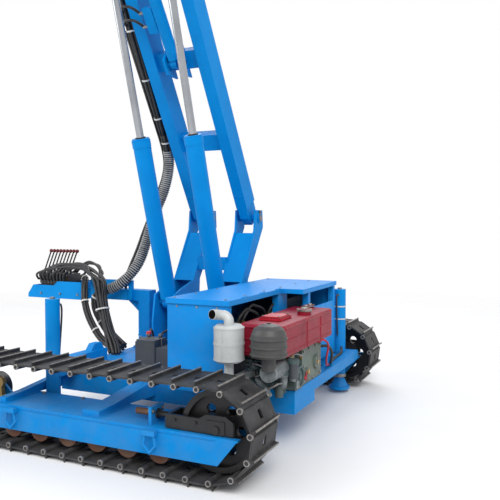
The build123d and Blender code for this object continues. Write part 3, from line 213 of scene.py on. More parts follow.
# Lower pin of the levelling cylinder, from the boom's middle, and its keeper's bolt.
LEVEL_PIN, LEVEL_KEEPER = (0.0775, 1.31, 0.09), (0.067, 1.338, 0.108)
# Welds across a beam's ends: from the hinge, half the depth and half the width.
END_WELD, END_DEPTH, END_HALF = 0.242, 0.079785, 0.032
# Cross ties of the boom; half a tie's width and depth where its welds run, and a beam's inner
# face from its middle.
BOOM_TIES, TIE_EDGE, TIE_DEPTH, BEAM_FACE = (0.68, 1.31, 1.94, 2.57), 0.0625, 0.044, 0.046
# Stand's cheeks and the keepers of its pins, from a beam's middle.
PIN_CHEEK, KEEPER_CHEEK = 0.099, 0.0955
# Levelling cylinder, across, along and in front of the boom: first port and hose, and how far
# along the second ones are.
LEVEL_PORT, LEVEL_NEXT = (0.12, 1.585, 0.112), 0.09
LEVEL_HOSE = ((0.318, 1.60, 0.058), (0.30, 1.625, 0.105), (0.25, 1.655, 0.15),
              (0.18, 1.64, 0.15))

# Cabinet: its top, near wall, and the hinges' places across.
CABINET_TOP, CABINET_NEAR, CABINET_HINGES = 0.86, 0.7612, (0.05, 0.3, 0.55)
# Its screws: X and Y in the top, X and Z in the near wall.
TOP_SCREWS = ((-0.668, -0.335), (-0.64, -0.36, -0.08, 0.2, 0.48, 0.73))
WALL_SCREWS = ((-0.63, -0.5, -0.37), (0.815, 0.352))
# Hoses in the cabinet: start across, how far they reach, highest point.
CABINET_HOSES = ((0.54, 0.26, 0.775), (0.47, 0.3, 0.79), (0.08, 0.24, 0.77))
# Battery: X of its posts, their Y and height, and X, Y and height of its clamp's rods.
BATTERY_POSTS, POST_Y, POST_Z = (-0.07, 0.02), 0.47, 0.577
CLAMP_RODS, CLAMP_Y, CLAMP_Z = (-0.1035, 0.0535), 0.511, 0.563

# Engine bolts: axis, radius, seats.
ENGINE_BOLTS = (
    (-X, 0.0075, [(-0.9953, y, z) for y, z in (
        (0.062, 0.352), (0.062, 0.44), (0.062, 0.53), (0.155, 0.538), (0.27, 0.538),
        (0.363, 0.53), (0.363, 0.44), (0.363, 0.352), (0.2, 0.345), (0.29, 0.345))]),
    (-X, 0.0085, [(-0.97, y, z) for y in (0.551, 0.588) for z in (0.37, 0.46, 0.525)]),
    (Y, 0.009, [(x, 0.6, z) for x in (-0.955, -0.805) for z in (0.36, 0.52)]
     + [(-0.88, 0.6, 0.525)]),
    (Y, 0.014, [(-0.88, 0.645, 0.42)]),
    (Z, 0.009, [(-0.962, 0.045, 0.345), (-0.962, 0.37, 0.345), (-0.81, 0.045, 0.345)]),
    (Y, 0.0075, [(x, 0.685, z) for x in (-0.93, -0.82) for z in (0.4, 0.505)]),
)
# Rings of bolts: middle, axis, circle, count, radius.
ENGINE_RINGS = (
    ((-1.0093, 0.1425, 0.43), -X, 0.032, 4, 0.005), ((-0.88, 0.645, 0.42), Y, 0.05, 6, 0.006),
    ((-0.983, 0.629, 0.5025), Y, 0.052, 6, 0.0045), ((-0.983, 0.655, 0.45), -Z, 0.034, 4, 0.006),
    ((-1.0145, 0.522, 0.372), -X, 0.029, 5, 0.0035),
)
# Discs: X, Y, Z, axis, radius, depth, sides and taper.
ENGINE_CASTINGS = (
    (-0.983, 0.655, 0.47, Z, 0.05, 0.016, 28), (-1.045, 0.655, 0.535, Z, 0.034, 0.022, 28),
    (-1.005, 0.59, 0.515, Z, 0.033, 0.024, 28), (-1.005, 0.59, 0.417, Z, 0.02, 0.012, 20),
    *((-0.985, y, 0.512, Z, 0.011, 0.03, 16) for y in (0.507, 0.538)),
    (-0.99, 0.522, 0.372, -X, 0.034, 0.05, 28), (-0.83, 0.64, 0.39, Y, 0.036, 0.08, 28),
    (-0.955, 0.64, 0.36, Z, 0.024, 0.07, 24),
)
ENGINE_BRIGHT = (
    (-0.983, 0.622, 0.5025, Y, 0.058, 0.014, 28), (-1.045, 0.655, 0.436, Z, 0.016, 0.018, 20),
    (-0.983, 0.655, 0.456, Z, 0.043, 0.012, 24), (-1.018, 0.522, 0.372, -X, 0.024, 0.008, 24),
    (-0.955, 0.64, 0.398, Z, 0.017, 0.01, 20),
    *((-0.978, y, z, (-1, 0, 0.3), 0.0085, 0.022, 12)
      for y, z in ((0.43, 0.545), (0.46, 0.548), (0.49, 0.546))),
)
ENGINE_FILTERS = ((-1.045, 0.655, 0.485, Z, 0.029, 0.08, 28, 0.97),
                  (-1.005, 0.59, 0.463, Z, 0.028, 0.08, 28, 0.96))
ENGINE_BRASS = ((-1.0115, 0.1425, 0.43, -X, 0.014, 0.006, 20),
                (-1.0075, 0.3025, 0.4, -X, 0.017, 0.008, 6))
ENGINE_NUTS = ((-1.005, 0.59, 0.532, Z, 0.009, 0.012, 6),
               *((-0.985, y, 0.532, Z, 0.008, 0.012, 6) for y in (0.507, 0.538)))
# Plugged ports on the gear cover: X, Y, Z, radius, depth.
ENGINE_PORTS = ((-0.93, 0.7, 0.46, 0.02, 0.05), (-0.9, 0.7, 0.5, 0.014, 0.07),
                (-0.845, 0.7, 0.5, 0.016, 0.06), (-0.82, 0.71, 0.41, 0.024, 0.05),
                (-0.955, 0.7, 0.41, 0.015, 0.05))
GEAR_COVER = ((-0.95, 0.595, 0.382), (-0.8, 0.685, 0.522))
# Ribs beside the gear cover, then plain blocks: lowest and highest corners.
ENGINE_BLOCKS = (
    *(((-0.805, 0.605, z), (-0.765, 0.68, z + 0.007))
      for z in (0.37, 0.395, 0.42, 0.445, 0.47, 0.495, 0.52)),
    ((-0.81, 0.61, 0.36), (-0.785, 0.67, 0.53)), ((-1.04, 0.64, 0.526), (-0.975, 0.67, 0.544)),
    ((-1.0, 0.575, 0.505), (-0.955, 0.605, 0.525)), ((-1.0, 0.495, 0.43), (-0.965, 0.55, 0.5)),
)
# Fuel pipes with a brass nut at each end, and plain ones over the gear cover.
FUEL_PIPES = (
    ((-0.995, 0.41, 0.5), (-1.01, 0.425, 0.515), (-1.015, 0.46, 0.53), (-1.0, 0.51, 0.545),
     (-0.985, 0.54, 0.53)),
    ((-0.985, 0.475, 0.47), (-1.008, 0.49, 0.48), (-1.012, 0.52, 0.5), (-0.99, 0.56, 0.49)),
    ((-0.98, 0.43, 0.34), (-1.0, 0.44, 0.345), (-1.01, 0.5, 0.35), (-0.99, 0.545, 0.36)),
    ((-0.93, 0.64, 0.46), (-0.945, 0.665, 0.5), (-0.94, 0.68, 0.545), (-0.915, 0.66, 0.562)),
)
COVER_PIPES = (
    ((-0.94, 0.69, 0.5), (-0.95, 0.74, 0.5), (-0.9, 0.755, 0.47), (-0.86, 0.74, 0.45),
     (-0.835, 0.7, 0.47)),
    ((-0.89, 0.69, 0.38), (-0.9, 0.745, 0.375), (-0.95, 0.75, 0.4), (-0.985, 0.72, 0.42),
     (-0.99, 0.66, 0.41)),
    ((-0.83, 0.73, 0.52), (-0.86, 0.76, 0.525), (-0.92, 0.76, 0.51), (-0.95, 0.73, 0.47),
     (-0.955, 0.71, 0.43)),
)
# Wide pipes of the engine: radius, sides, line.
WIDE_PIPES = (
    (0.024, 18, ((-0.983, 0.655, 0.475), (-0.985, 0.653, 0.43), (-0.975, 0.64, 0.395),
                 (-0.945, 0.625, 0.385), (-0.90, 0.60, 0.395))),
    (0.017, 16, ((-0.86, 0.685, 0.43), (-0.862, 0.72, 0.432), (-0.885, 0.745, 0.42),
                 (-0.92, 0.748, 0.39), (-0.935, 0.73, 0.35))),
    (0.023, 18, ((-0.755, 0.835, 0.435), (-0.765, 0.79, 0.433), (-0.79, 0.74, 0.44),
                 (-0.82, 0.7, 0.455), (-0.835, 0.68, 0.46))),
)
CLEANER_PIPE = [(-0.983, y, 0.5025) for y in (0.63, 0.7, 0.8, 0.862)]
RED_CABLE = ((-1.0, 0.12, 0.545), (-1.03, 0.09, 0.56), (-1.045, 0.04, 0.52), (-1.02, 0.0, 0.43),
             (-1.0, -0.06, 0.375), (-0.98, -0.13, 0.352), (-0.965, -0.22, 0.3375))
FUEL_HOSE = ((-0.97, 0.02, 0.5), (-1.02, -0.02, 0.5), (-1.03, -0.08, 0.45), (-1.0, -0.16, 0.37),
             (-0.955, -0.3, 0.342), (-0.94, -0.45, 0.342), (-0.93, -0.62, 0.342),
             (-0.9, -0.72, 0.36))

# Tank: lowest and highest X and Y, and how far its corners are cut.
TANK_X, TANK_Y, TANK_CORNER = (-1.028, -0.753), (-0.1, 0.745), 0.026
TANK_TOP, TANK_SEAMS, TANK_STRAPS = 0.738, (0.585, 0.655, 0.72), (0.14, 0.385)
# Caps on the tank: X, Y, radius, height over the tank.
TANK_CAPS = ((-0.96, 0.25, 0.042, 0.034), (-0.89, 0.03, 0.024, 0.022), (-0.89, -0.05, 0.024, 0.022))
# Lid over the tank: the corners of its two steps, then X and Y of its bolts and their height.
TANK_LID = (((-0.9475, 0.428, 0.7385), (-0.8135, 0.602, 0.7545)),
            ((-0.938, 0.438, 0.7545), (-0.823, 0.592, 0.762)))
LID_BOLTS, LID_TOP = [(x, y) for y in (0.447, 0.583) for x in (-0.93, -0.831)], 0.762
DRAIN_PIPE = ((-0.93, 0.752, 0.6), (-0.93, 0.768, 0.596), (-0.93, 0.77, 0.57),
              (-0.93, 0.72, 0.545), (-0.93, 0.65, 0.53))
# Air cleaner: X and Y, heights of its clamps, height and circle of its vents, its top nut.
CLEANER, CLEANER_CLAMPS, VENT_Z, VENT_CIRCLE, CLEANER_NUT = (
    (-0.983, 0.85), (0.606, 0.646, 0.688), 0.583, 0.0435, 0.7665)
# Muffler: X and Y, height of its inlet's collar, height and width of its seams.
MUFFLER, INLET_Z = (-0.75, 0.85), 0.46
MUFFLER_SEAMS = ((0.56, 0.007), (0.645, 0.012), (0.73, 0.007))
MUFFLER_MOUTH = ((-0.698, 0.85, 0.794), (-0.684, 0.854, 0.795), (-0.674, 0.867, 0.797),
                 (-0.668, 0.888, 0.8))

# Valve bank: where its valves start, their pitch, and its middle across.
VALVES, VALVE_START, VALVE_PITCH, VALVE_Y = 9, 1.55, 0.034, -0.265
# Half its width, and the heights of its ports, plugs and small screws.
BANK_HALF, PORT_Z, PLUG_Z, SCREW_ZS = 0.075, 0.835, 0.865, (0.803, 0.87)
# Bolts of the trough: X, Y with the way each side faces, and height; then those of its foot.
TROUGH_XS, TROUGH_SIDES, TROUGH_Z = (1.12, 1.3, 1.5), ((-0.3815, -1), (-0.1485, 1)), 0.72
FOOT_XS, FOOT_YS, FOOT_Z = (0.462, 0.592), (-0.312, -0.195), 0.344
# Tie round the fan of hoses: middle and axis.
FAN_TIE, FAN_AXIS = (0.765, -0.012, 0.64), (0.3, -0.14, 1)
# Jacks: X, Y and the top of each tube.
JACKS = ((0.508, 0.81, 0.818), (0.508, -0.81, 0.818), (-0.86, -0.81, 0.79))
# White bands below the top of front and rear jacks; radius inside bands; heights of the gland
# collar, the lower port and the clamp's welds.
FRONT_BANDS, REAR_BANDS, JACK_BORE = (0.365,), (0.13, 0.225), 0.0455
COLLAR_Z, JACK_PORT_Z, JACK_WELDS = 0.132, 0.2, (0.3305, 0.4295)

# Platform: deck over the boom's top hinge, and the feed's hinge from that hinge and the deck.
DECK_RISE = 0.25
FEED_X, FEED_Y, FEED_Z = 0.25, 0.67, 0.398
# From the deck's middle: rail posts across and along, slat bolts across, their first and pitch.
RAIL_X, RAIL_YS = 1.105, (-0.52, 0, 0.52)
SLAT_XS, SLAT_Y, SLAT_PITCH = (-1.13, -0.395, 0.395), -0.525, 0.13125
# Heights over the deck's underside: slats' tops, rail posts' feet, middle rails.
SLAT_TOP, POST_FOOT, MIDDLE_RAIL = 0.108, 0.1085, 0.608
# Feed's lugs: outer face from the feed's middle, then over the deck from its middle Y and Z of
# the keeper's bolt, and Y, Z and length of the weld.
LUG_FACE, LUG_BOLT, LUG_WELD = 0.159, (0.715, 0.42), (0.14, 0.048, 0.4)
# Feed beam: half its width, and its bolts' first place, pitch and count.
FEED_HALF, FEED_START, FEED_PITCH, FEED_BOLTS = 0.09, -1.84, 0.155, 17
# From the feed's hinge: bolts in its end plates, out, along and up; bolts of its clamps, out,
# along and up; ends of its wear strips along, and their lower and upper edges.
END_BOLT_X, END_BOLTS = 0.07, ((0.684, 0.085), (-1.9, -0.045), (-1.9, 0.035), (-1.9, 0.085))
CLAMP_BOLT_X, CLAMP_BOLTS, CLAMP_BOLT_Z = 0.104, (0.106, 0.134, 0.486, 0.514), 0.025
WEAR_ENDS, WEAR_EDGES = (-1.88, 0.68), (0.0405, 0.0545)
# Drill head: from the feed's hinge, and its spindle over its carriage.
DRILL_BACK, DRILL_RISE, SPINDLE_RISE = 0.9, 0.055, 0.1203
SQUARE = ((-1, -1), (1, -1), (1, 1), (-1, 1))


# Places

def middle():
    """Middle of the tracks on the ground, in the row frame."""
    low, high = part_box("track_frames")
    return Vector(((low[0] + high[0]) / 2, (low[1] + high[1]) / 2, 0))


def at(x, y, z):
    """Row-frame point from a place measured from the middle of the tracks, in metres."""
    return middle() + Vector((x, y, z))


def on_boom(x, station, offset):
    """Row-frame point beside the boom: across, along and in front of it."""
    boom = bpy.context.scene.rig_boom
    sin, cos = math.sin(boom.lean), math.cos(boom.lean)
    return at(boom.slew[0] + x, boom.knee[0] + station * sin + offset * cos,
              boom.knee[1] + station * cos - offset * sin)


# Materials

def set_inputs(tree, node, inputs):
    """Links sockets to a node's inputs and sets other values there; colours get their alpha."""
    for key, value in inputs.items():
        if isinstance(value, bpy.types.NodeSocket):
            tree.links.new(value, node.inputs[key])
        else:
            node.inputs[key].default_value = (*value, 1) if isinstance(value, tuple) else value


def add_node(tree, kind, inputs=None, **settings):
    """Shader node with its settings and inputs."""
    node = tree.nodes.new("ShaderNode" + kind)
    for key, value in settings.items():
        setattr(node, key, value)
    set_inputs(tree, node, inputs or {})
    return node


def nodes_of(material):
    """Cleared node tree with a principled shader linked to its output."""
    material.use_nodes = True
    tree = material.node_tree
    tree.nodes.clear()
    shader = add_node(tree, "BsdfPrincipled")
    add_node(tree, "OutputMaterial", {"Surface": shader.outputs["BSDF"]})
    return tree, shader


def noise(tree, coords, scale, detail=4.0, rough=0.55):
    """Uneven value from 0 to 1 over the coordinates."""
    return add_node(tree, "TexNoise", {"Scale": scale, "Detail": detail, "Roughness": rough,
                                       "Vector": coords}).outputs["Fac"]


def ramp(tree, value, low, high, top=1.0):
    """Value rising from 0 at low to top at high."""
    return add_node(tree, "MapRange", {"From Min": low, "From Max": high, "To Max": top,
                                       "Value": value}).outputs["Result"]


def maths(tree, operation, a, b):
    """Result of one sum on two values or sockets."""
    return add_node(tree, "Math", {0: a, 1: b}, operation=operation).outputs[0]


def mix(tree, share, first, second):
    """Colour between first and second; each is a colour or a socket."""
    return add_node(tree, "Mix", {"Factor": share, 6: first, 7: second},
                    data_type="RGBA").outputs[2]


def finish(name, base, tone, rough=0.45, metal=0.0, grime=0.0, grime_top=None, bump=0.0,
           bump_scale=60.0, scale=6.0, coat=0.0, dust=(0.19, 0.155, 0.115), spots=0.0,
           spot_colour=(0.05, 0.035, 0.025), shine=0.5):
    """Paint or metal with uneven tone, dust towards the ground and fine roughness."""
    material = bpy.data.materials.new(name)
    tree, shader = nodes_of(material)
    coords = add_node(tree, "TexCoord").outputs["Object"]
    colour = mix(tree, ramp(tree, noise(tree, coords, scale, 5.0), 0.35, 0.68), base, tone)
    if spots:
        fleck = ramp(tree, noise(tree, coords, 38.0, 6.0, 0.62), 0.60, 0.68, spots)
        colour = mix(tree, fleck, colour, spot_colour)
    if grime:
        split = add_node(tree, "SeparateXYZ", {0: coords})
        top = grime_top or bpy.context.scene.rig_paint.grime_top
        height = ramp(tree, split.outputs["Z"], top, 0.02, grime)
        patch = ramp(tree, noise(tree, coords, 9.0, 7.0, 0.66), 0.36, 0.62)
        colour = mix(tree, maths(tree, "MULTIPLY", height, patch), colour, dust)
    grain = add_node(tree, "MapRange", {"To Min": max(0.04, rough - 0.1),
                                        "To Max": min(1.0, rough + 0.16),
                                        "Value": noise(tree, coords, 22.0, 3.0)})
    set_inputs(tree, shader, {"Base Color": colour, "Metallic": metal,
                              "Specular IOR Level": shine,
                              "Roughness": grain.outputs["Result"]})
    if coat:
        set_inputs(tree, shader, {"Coat Weight": coat, "Coat Roughness": 0.16})
    if bump:
        lift = add_node(tree, "Bump", {"Strength": bump, "Distance": 0.002,
                                       "Height": noise(tree, coords, bump_scale, 4.0)})
        set_inputs(tree, shader, {"Normal": lift.outputs["Normal"]})
    return material


def two_tone(name, first, second, limit, **more):
    """A finish whose colour changes above a height, as knobs on levers do."""
    material = finish(name, first, tuple(0.8 * c for c in first), **more)
    tree = material.node_tree
    shader = next(n for n in tree.nodes if n.type == "BSDF_PRINCIPLED")
    coords = next(n for n in tree.nodes if n.type == "TEX_COORD").outputs["Object"]
    split = add_node(tree, "SeparateXYZ", {0: coords})
    step = ramp(tree, split.outputs["Z"], limit, limit + 0.001)
    old = shader.inputs["Base Color"].links[0].from_socket
    set_inputs(tree, shader, {"Base Color": mix(tree, step, old, second)})
    return material


def finishes(paint):
    return {
        "blue_paint": (tuple(paint.blue), (0.0, 0.195, 0.53), dict(
            rough=0.42, grime=paint.grime, shine=0.07, bump=0.06, bump_scale=90, coat=0.03,
            spots=0.08)),
        "sheet_blue": ((0.0, 0.22, 0.62), (0.001, 0.24, 0.65), dict(
            rough=0.4, shine=0.1, grime=0.12, grime_top=1.4, bump=0.05, scale=4.0, coat=0.06,
            spots=0.1)),
        # Black paint; on the air cleaner's vent discs it is painted shade of the vent openings.
        "black_paint": ((0.008, 0.0085, 0.0095), (0.015, 0.0155, 0.0165), dict(
            rough=0.42, grime=0.2, bump=0.15, dust=(0.05, 0.046, 0.042), shine=0.35)),
        "track_steel": ((0.016, 0.0165, 0.018), (0.044, 0.044, 0.046), dict(
            rough=0.6, metal=0.3, grime=0.3, grime_top=0.5, bump=0.5, scale=11,
            dust=(0.1, 0.094, 0.086), spots=0.4, spot_colour=(0.14, 0.13, 0.12))),
        "worn_steel": ((0.3, 0.285, 0.27), (0.15, 0.14, 0.13), dict(
            rough=0.42, metal=0.6, bump=0.3, scale=50)),
        "sprocket_gold": ((0.3, 0.185, 0.04), (0.16, 0.10, 0.03), dict(
            rough=0.42, metal=0.7, grime=0.5, bump=0.2)),
        "roller_rust": ((0.13, 0.04, 0.016), (0.07, 0.026, 0.014), dict(
            rough=0.7, grime=0.4, bump=0.35, scale=14)),
        "ring_steel": ((0.09, 0.09, 0.095), (0.045, 0.042, 0.04), dict(
            rough=0.4, metal=0.8, bump=0.2, scale=9)),
        "chrome_rod": ((0.40, 0.415, 0.44), (0.31, 0.325, 0.35), dict(
            rough=0.16, metal=1.0, scale=3)),
        "tank_red": (tuple(paint.tank), (0.19, 0.006, 0.02), dict(
            rough=0.42, shine=0.16, bump=0.1, coat=0.03, spots=0.3,
            spot_colour=(0.1, 0.02, 0.025), grime=0.1, grime_top=1.4)),
        "cover_green": ((0.10, 0.14, 0.12), (0.06, 0.09, 0.08), dict(
            rough=0.5, bump=0.2, grime=0.4, grime_top=1.0, spots=0.3)),
        "engine_teal": (tuple(paint.teal), (0.03, 0.075, 0.082), dict(
            rough=0.5, bump=0.45, grime=0.45, grime_top=0.8, scale=14, spots=0.3)),
        "cleaner_grey": ((0.022, 0.024, 0.026), (0.036, 0.038, 0.04), dict(
            rough=0.5, bump=0.1, grime=0.2, grime_top=1.2)),
        "muffler_grey": ((0.47, 0.49, 0.49), (0.38, 0.39, 0.385), dict(
            rough=0.5, metal=0.15, bump=0.15, spots=0.25, spot_colour=(0.2, 0.14, 0.1))),
        "box_grey": ((0.028, 0.035, 0.044), (0.048, 0.057, 0.068), dict(
            rough=0.45, bump=0.15, grime=0.12)),
        "hose_rubber": ((0.008, 0.008, 0.009), (0.016, 0.016, 0.017), dict(
            rough=0.5, bump=0.3, bump_scale=220)),
        "valve_grey": ((0.03, 0.032, 0.034), (0.055, 0.056, 0.058), dict(
            rough=0.45, metal=0.4, bump=0.25)),
        "drill_steel": ((0.2, 0.2, 0.205), (0.12, 0.12, 0.12), dict(
            rough=0.38, metal=0.85, bump=0.2)),
        "bolt_steel": ((0.30, 0.30, 0.29), (0.16, 0.15, 0.14), dict(
            rough=0.38, metal=0.9, scale=40)),
        "cast_alloy": ((0.2, 0.22, 0.225), (0.09, 0.11, 0.115), dict(
            rough=0.45, metal=0.3, bump=0.4, scale=26, spots=0.5)),
        # Dull near-black: soot, and on the muffler's mouth also painted shade of the pipe's inside,
        # which is not modelled.
        "soot": ((0.0015, 0.0015, 0.0015), (0.005, 0.0045, 0.004), dict(
            rough=0.9, scale=60, shine=0.02)),
        "sleeve_ring": ((0.33, 0.33, 0.325), (0.16, 0.16, 0.16), dict(rough=0.6, scale=14)),
        "brass": ((0.42, 0.27, 0.08), (0.3, 0.19, 0.06), dict(rough=0.3, metal=0.9, scale=30)),
        "white_tie": ((0.62, 0.62, 0.58), (0.48, 0.47, 0.43), dict(rough=0.5, scale=30)),
        "red_cap": ((0.46, 0.006, 0.02), (0.34, 0.006, 0.015), dict(rough=0.4, scale=25)),
    }


MATERIALS = {}


# Building

def meshes(count):
    """Empty meshes to be shaped, one for each piece."""
    return [bmesh.new() for _ in range(count)]


def new_piece(name, bm, material, smooth=False, body="root"):
    """Object from a mesh whose place is in its vertices, riding on a body of the rig."""
    bmesh.ops.recalc_face_normals(bm, faces=bm.faces)
    mesh = bpy.data.meshes.new(name)
    bm.to_mesh(mesh)
    bm.free()
    if smooth:
        mesh.shade_smooth()
    mesh.materials.append(MATERIALS[material])
    piece = bpy.data.objects.new(name, mesh)
    bpy.context.scene.collection.objects.link(piece)
    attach(piece, body)
    return piece


def new_pieces(body="root", **rows):
    """Objects by name, from rows of mesh, material and, for smooth ones, True."""
    for name, row in rows.items():
        new_piece(name, *row, body=body)


def turn_to(axis):
    """Matrix that turns Z to the axis."""
    return Z.rotation_difference(Vector(axis).normalized()).to_matrix().to_4x4()


def circle_of(radius, count, half=0.0):
    """Cosine and sine shares of a circle's points, times its radius."""
    return [(radius * math.cos(angle), radius * math.sin(angle))
            for angle in (2 * math.pi * (k + half) / count for k in range(count))]


def add_disc(bm, centre, axis, radius, depth, sides=24, taper=1.0):
    """Closed round or many-sided disc, its middle at the centre."""
    bmesh.ops.create_cone(bm, cap_ends=True, segments=sides, radius1=radius,
                          radius2=radius * taper, depth=depth,
                          matrix=Matrix.Translation(centre) @ turn_to(axis))


def add_discs(bm, *rows):
    """Discs from rows of X, Y and Z from the tracks' middle, and what else add_disc takes."""
    for x, y, z, *rest in rows:
        add_disc(bm, at(x, y, z), *rest)


def add_bolt(bm, seat, axis, radius):
    """Hexagon head with its washer, seated on a face."""
    axis = Vector(axis).normalized()
    washer, height = 0.002, radius * 0.75
    add_disc(bm, seat + axis * washer / 2, axis, radius * 1.3, washer, 16)
    add_disc(bm, seat + axis * (washer + height / 2), axis, radius, height, 6, 0.94)


def add_bolts(bm, axis, radius, places):
    """Bolts of one kind on seats measured from the middle of the tracks."""
    for place in places:
        add_bolt(bm, at(*place), axis, radius)


def add_bolt_ring(bm, centre, axis, circle, count, radius):
    """Bolts evenly round a circle, seated on a face at its centre."""
    turn = turn_to(axis)
    for spot in circle_of(circle, count):
        add_bolt(bm, centre + turn @ Vector((*spot, 0)), axis, radius)


def add_band(bm, centre, axis, bore, width, wall=0.003, sides=28):
    """Flat ring round a tube: a four-cornered section spun about the axis."""
    turn = Matrix.Translation(centre) @ turn_to(axis)
    corners = [bm.verts.new(turn @ Vector((radius, 0, z))) for radius, z in (
        (bore, -width / 2), (bore + wall, -width / 2), (bore + wall, width / 2), (bore, width / 2))]
    edges = [bm.edges.new((corners[k - 1], corners[k])) for k in range(4)]
    bmesh.ops.spin(bm, geom=corners + edges, cent=centre, axis=Vector(axis).normalized(),
                   dvec=(0, 0, 0), angle=2 * math.pi, steps=sides, use_merge=True)


def add_box(bm, low, high):
    """Block between two corners measured from the middle of the tracks."""
    low, high = at(*low), at(*high)
    return bmesh.ops.create_cube(bm, size=1.0, matrix=Matrix.Translation((low + high) / 2)
                                 @ Matrix.Diagonal((*(high - low), 1)))


def add_pipe(bm, points, radius, sides=10):
    """Closed pipe through the points."""
    rows = carried([Vector(p) for p in points])
    add_tube(bm, rows, [(0, 0)] * len(rows), [radius] * len(rows), sides)


def add_soft_pipe(bm, places, radius, sides=10):
    """Smooth pipe through places measured from the middle of the tracks."""
    add_pipe(bm, soft_path([at(*place) for place in places]), radius, sides)


def soft_path(points, steps=5):
    """Points of a smooth line through the given ones."""
    ends = [2 * points[0] - points[1]] + points + [2 * points[-1] - points[-2]]
    line = []
    for a, b, c, d in zip(ends, ends[1:], ends[2:], ends[3:]):
        for step in range(steps):
            t = step / steps
            line.append(0.5 * (2 * b + (c - a) * t + (2 * a - 5 * b + 4 * c - d) * t * t
                               + (3 * b - a - 3 * c + d) * t ** 3))
    return line + [points[-1]]


def spline_of(name, route):
    """Curve of one smooth spline whose control points are a hose's route."""
    curve = bpy.data.curves.new(name, "CURVE")
    curve.dimensions = "3D"
    curve.resolution_u = 10
    spline = curve.splines.new("NURBS")
    spline.points.add(len(route) - 1)
    for spot, place in zip(spline.points, route):
        spot.co = (*place, 1)
    spline.order_u = 3
    spline.use_endpoint_u = True
    holder = bpy.data.objects.new(name, curve)
    bpy.context.scene.collection.objects.link(holder)
    bpy.context.view_layer.update()
    return holder


def line_of(name, route):
    """Points read from the smooth spline of a route."""
    holder = spline_of(name, route)
    mesh = bpy.data.meshes.new_from_object(holder)
    line = [v.co.copy() for v in mesh.vertices]
    curve = holder.data
    bpy.data.objects.remove(holder)
    bpy.data.curves.remove(curve)
    bpy.data.meshes.remove(mesh)
    return line


def carried(line):
    """Each point of a line with the way ahead and two directions across it."""
    rows = []
    side = None
    for index, point in enumerate(line):
        ahead = (line[min(index + 1, len(line) - 1)] - line[max(index - 1, 0)]).normalized()
        if side is None:
            side = ahead.orthogonal()
        side = (side - ahead * side.dot(ahead)).normalized()
        rows.append((point, ahead, side, ahead.cross(side)))
    return rows


def add_tube(bm, rows, across, radii, sides=8):
    """Closed tube along carried points, set off across the line, one radius at each point."""
    before = None
    for (point, _, side, up), (right, high), radius in zip(rows, across, radii):
        spot = point + side * right + up * high
        ring = [bm.verts.new(spot + side * a + up * b) for a, b in circle_of(radius, sides)]
        if before:
            for k in range(sides):
                bm.faces.new((before[k - 1], before[k], ring[k], ring[k - 1]))
        else:
            bm.faces.new(ring)
        before = ring
    bm.faces.new(before)


def add_strands(bm, line, radius):
    """Hoses side by side: one in the middle and the rest round it, slowly turning."""
    rows = carried(line)
    thin = [radius / 3] * len(rows)
    turns, way = [], 0.0
    for index, row in enumerate(rows):
        way += (row[0] - rows[max(index - 1, 0)][0]).length
        turns.append(1.1 * way)
    add_tube(bm, rows, [(0, 0)] * len(rows), thin)
    outer = HOSES_IN_BUNDLE - 1
    reach = 2 * radius / 3
    for k in range(outer):
        ring = 2 * math.pi * k / outer
        add_tube(bm, rows, [(reach * math.cos(ring + t), reach * math.sin(ring + t))
                            for t in turns], thin)


def add_ribs(bm, line, radius, pitch):
    """Rings of a ribbed sleeve, evenly spaced along a bundle's line."""
    left = 0.0
    for index, (point, ahead, _, _) in enumerate(carried(line)):
        left += (point - line[max(index - 1, 0)]).length
        if left >= pitch:
            left -= pitch
            add_band(bm, point, ahead, radius, 0.5 * pitch, 0.0045, 24)


def ties_along(name, line, radius, shares):
    """White ties round a bundle at shares of its line."""
    rows = carried(line)
    bm = bmesh.new()
    width = bpy.context.scene.rig_fastener.tie
    for share in shares:
        point, ahead, _, _ = rows[round(share * (len(rows) - 1))]
        add_band(bm, point, ahead, radius, width, 0.0025)
    return new_piece(name, bm, "white_tie")


def shoe_rows():
    """Start, way along and way outwards of each shoe, in the side view."""
    track = bpy.context.scene.rig_track
    straight, arc = 2 * track.reach, math.pi * track.pin_radius
    pitch = 2 * (straight + arc) / track.shoes
    pins = []
    for index in range(track.shoes):
        way = (index + 0.5) * pitch
        end = 1 if way < straight + arc else -1
        way -= 0 if end > 0 else straight + arc
        turn = max(way - straight, 0) / track.pin_radius
        pins.append((end * (min(way, straight) - track.reach + track.pin_radius * math.sin(turn)),
                     track.height + end * track.pin_radius * math.cos(turn)))
    rows = []
    for start, end in zip(pins, pins[1:] + pins[:1]):
        along = (Vector(end) - Vector(start)).normalized()
        rows.append((start, along, (-along[1], along[0])))
    return rows


def add_prism(bm, corners, y0, y1):
    """Bar along Y over an outline of X and Z, measured from the middle of the tracks."""
    ends = [[bm.verts.new(at(x, y, z)) for x, z in corners] for y in (y0, y1)]
    for k in range(len(corners)):
        bm.faces.new((ends[0][k - 1], ends[0][k], ends[1][k], ends[1][k - 1]))
    for ring in ends:
        bm.faces.new(ring)


def add_weld(bm, start, end, radius):
    """Weld bead between two points, its ripples a little uneven."""
    count = 2 * max(2, int((end - start).length / (radius * 1.6)))
    line = [start.lerp(end, k / count) for k in range(count + 1)]
    swell = [radius * (random.uniform(0.9, 1.1) if k % 2 else random.uniform(0.62, 0.72))
             for k in range(count + 1)]
    add_tube(bm, carried(line), [(0, 0)] * len(line), swell, 6)


def weld_from(bm, x, y, z, step, radius):
    """Weld bead from a place measured from the middle of the tracks, one step long."""
    add_weld(bm, at(x, y, z), at(x, y, z) + Vector(step), radius)


# Stage

def face_point(thing, ahead):
    """Turns a lamp or camera to look ahead."""
    thing.rotation_euler = Vector(ahead).to_track_quat("-Z", "Y").to_euler()


def linked(name, data):
    """Object that holds the data, put into the scene."""
    thing = bpy.data.objects.new(name, data)
    bpy.context.scene.collection.objects.link(thing)
    return thing


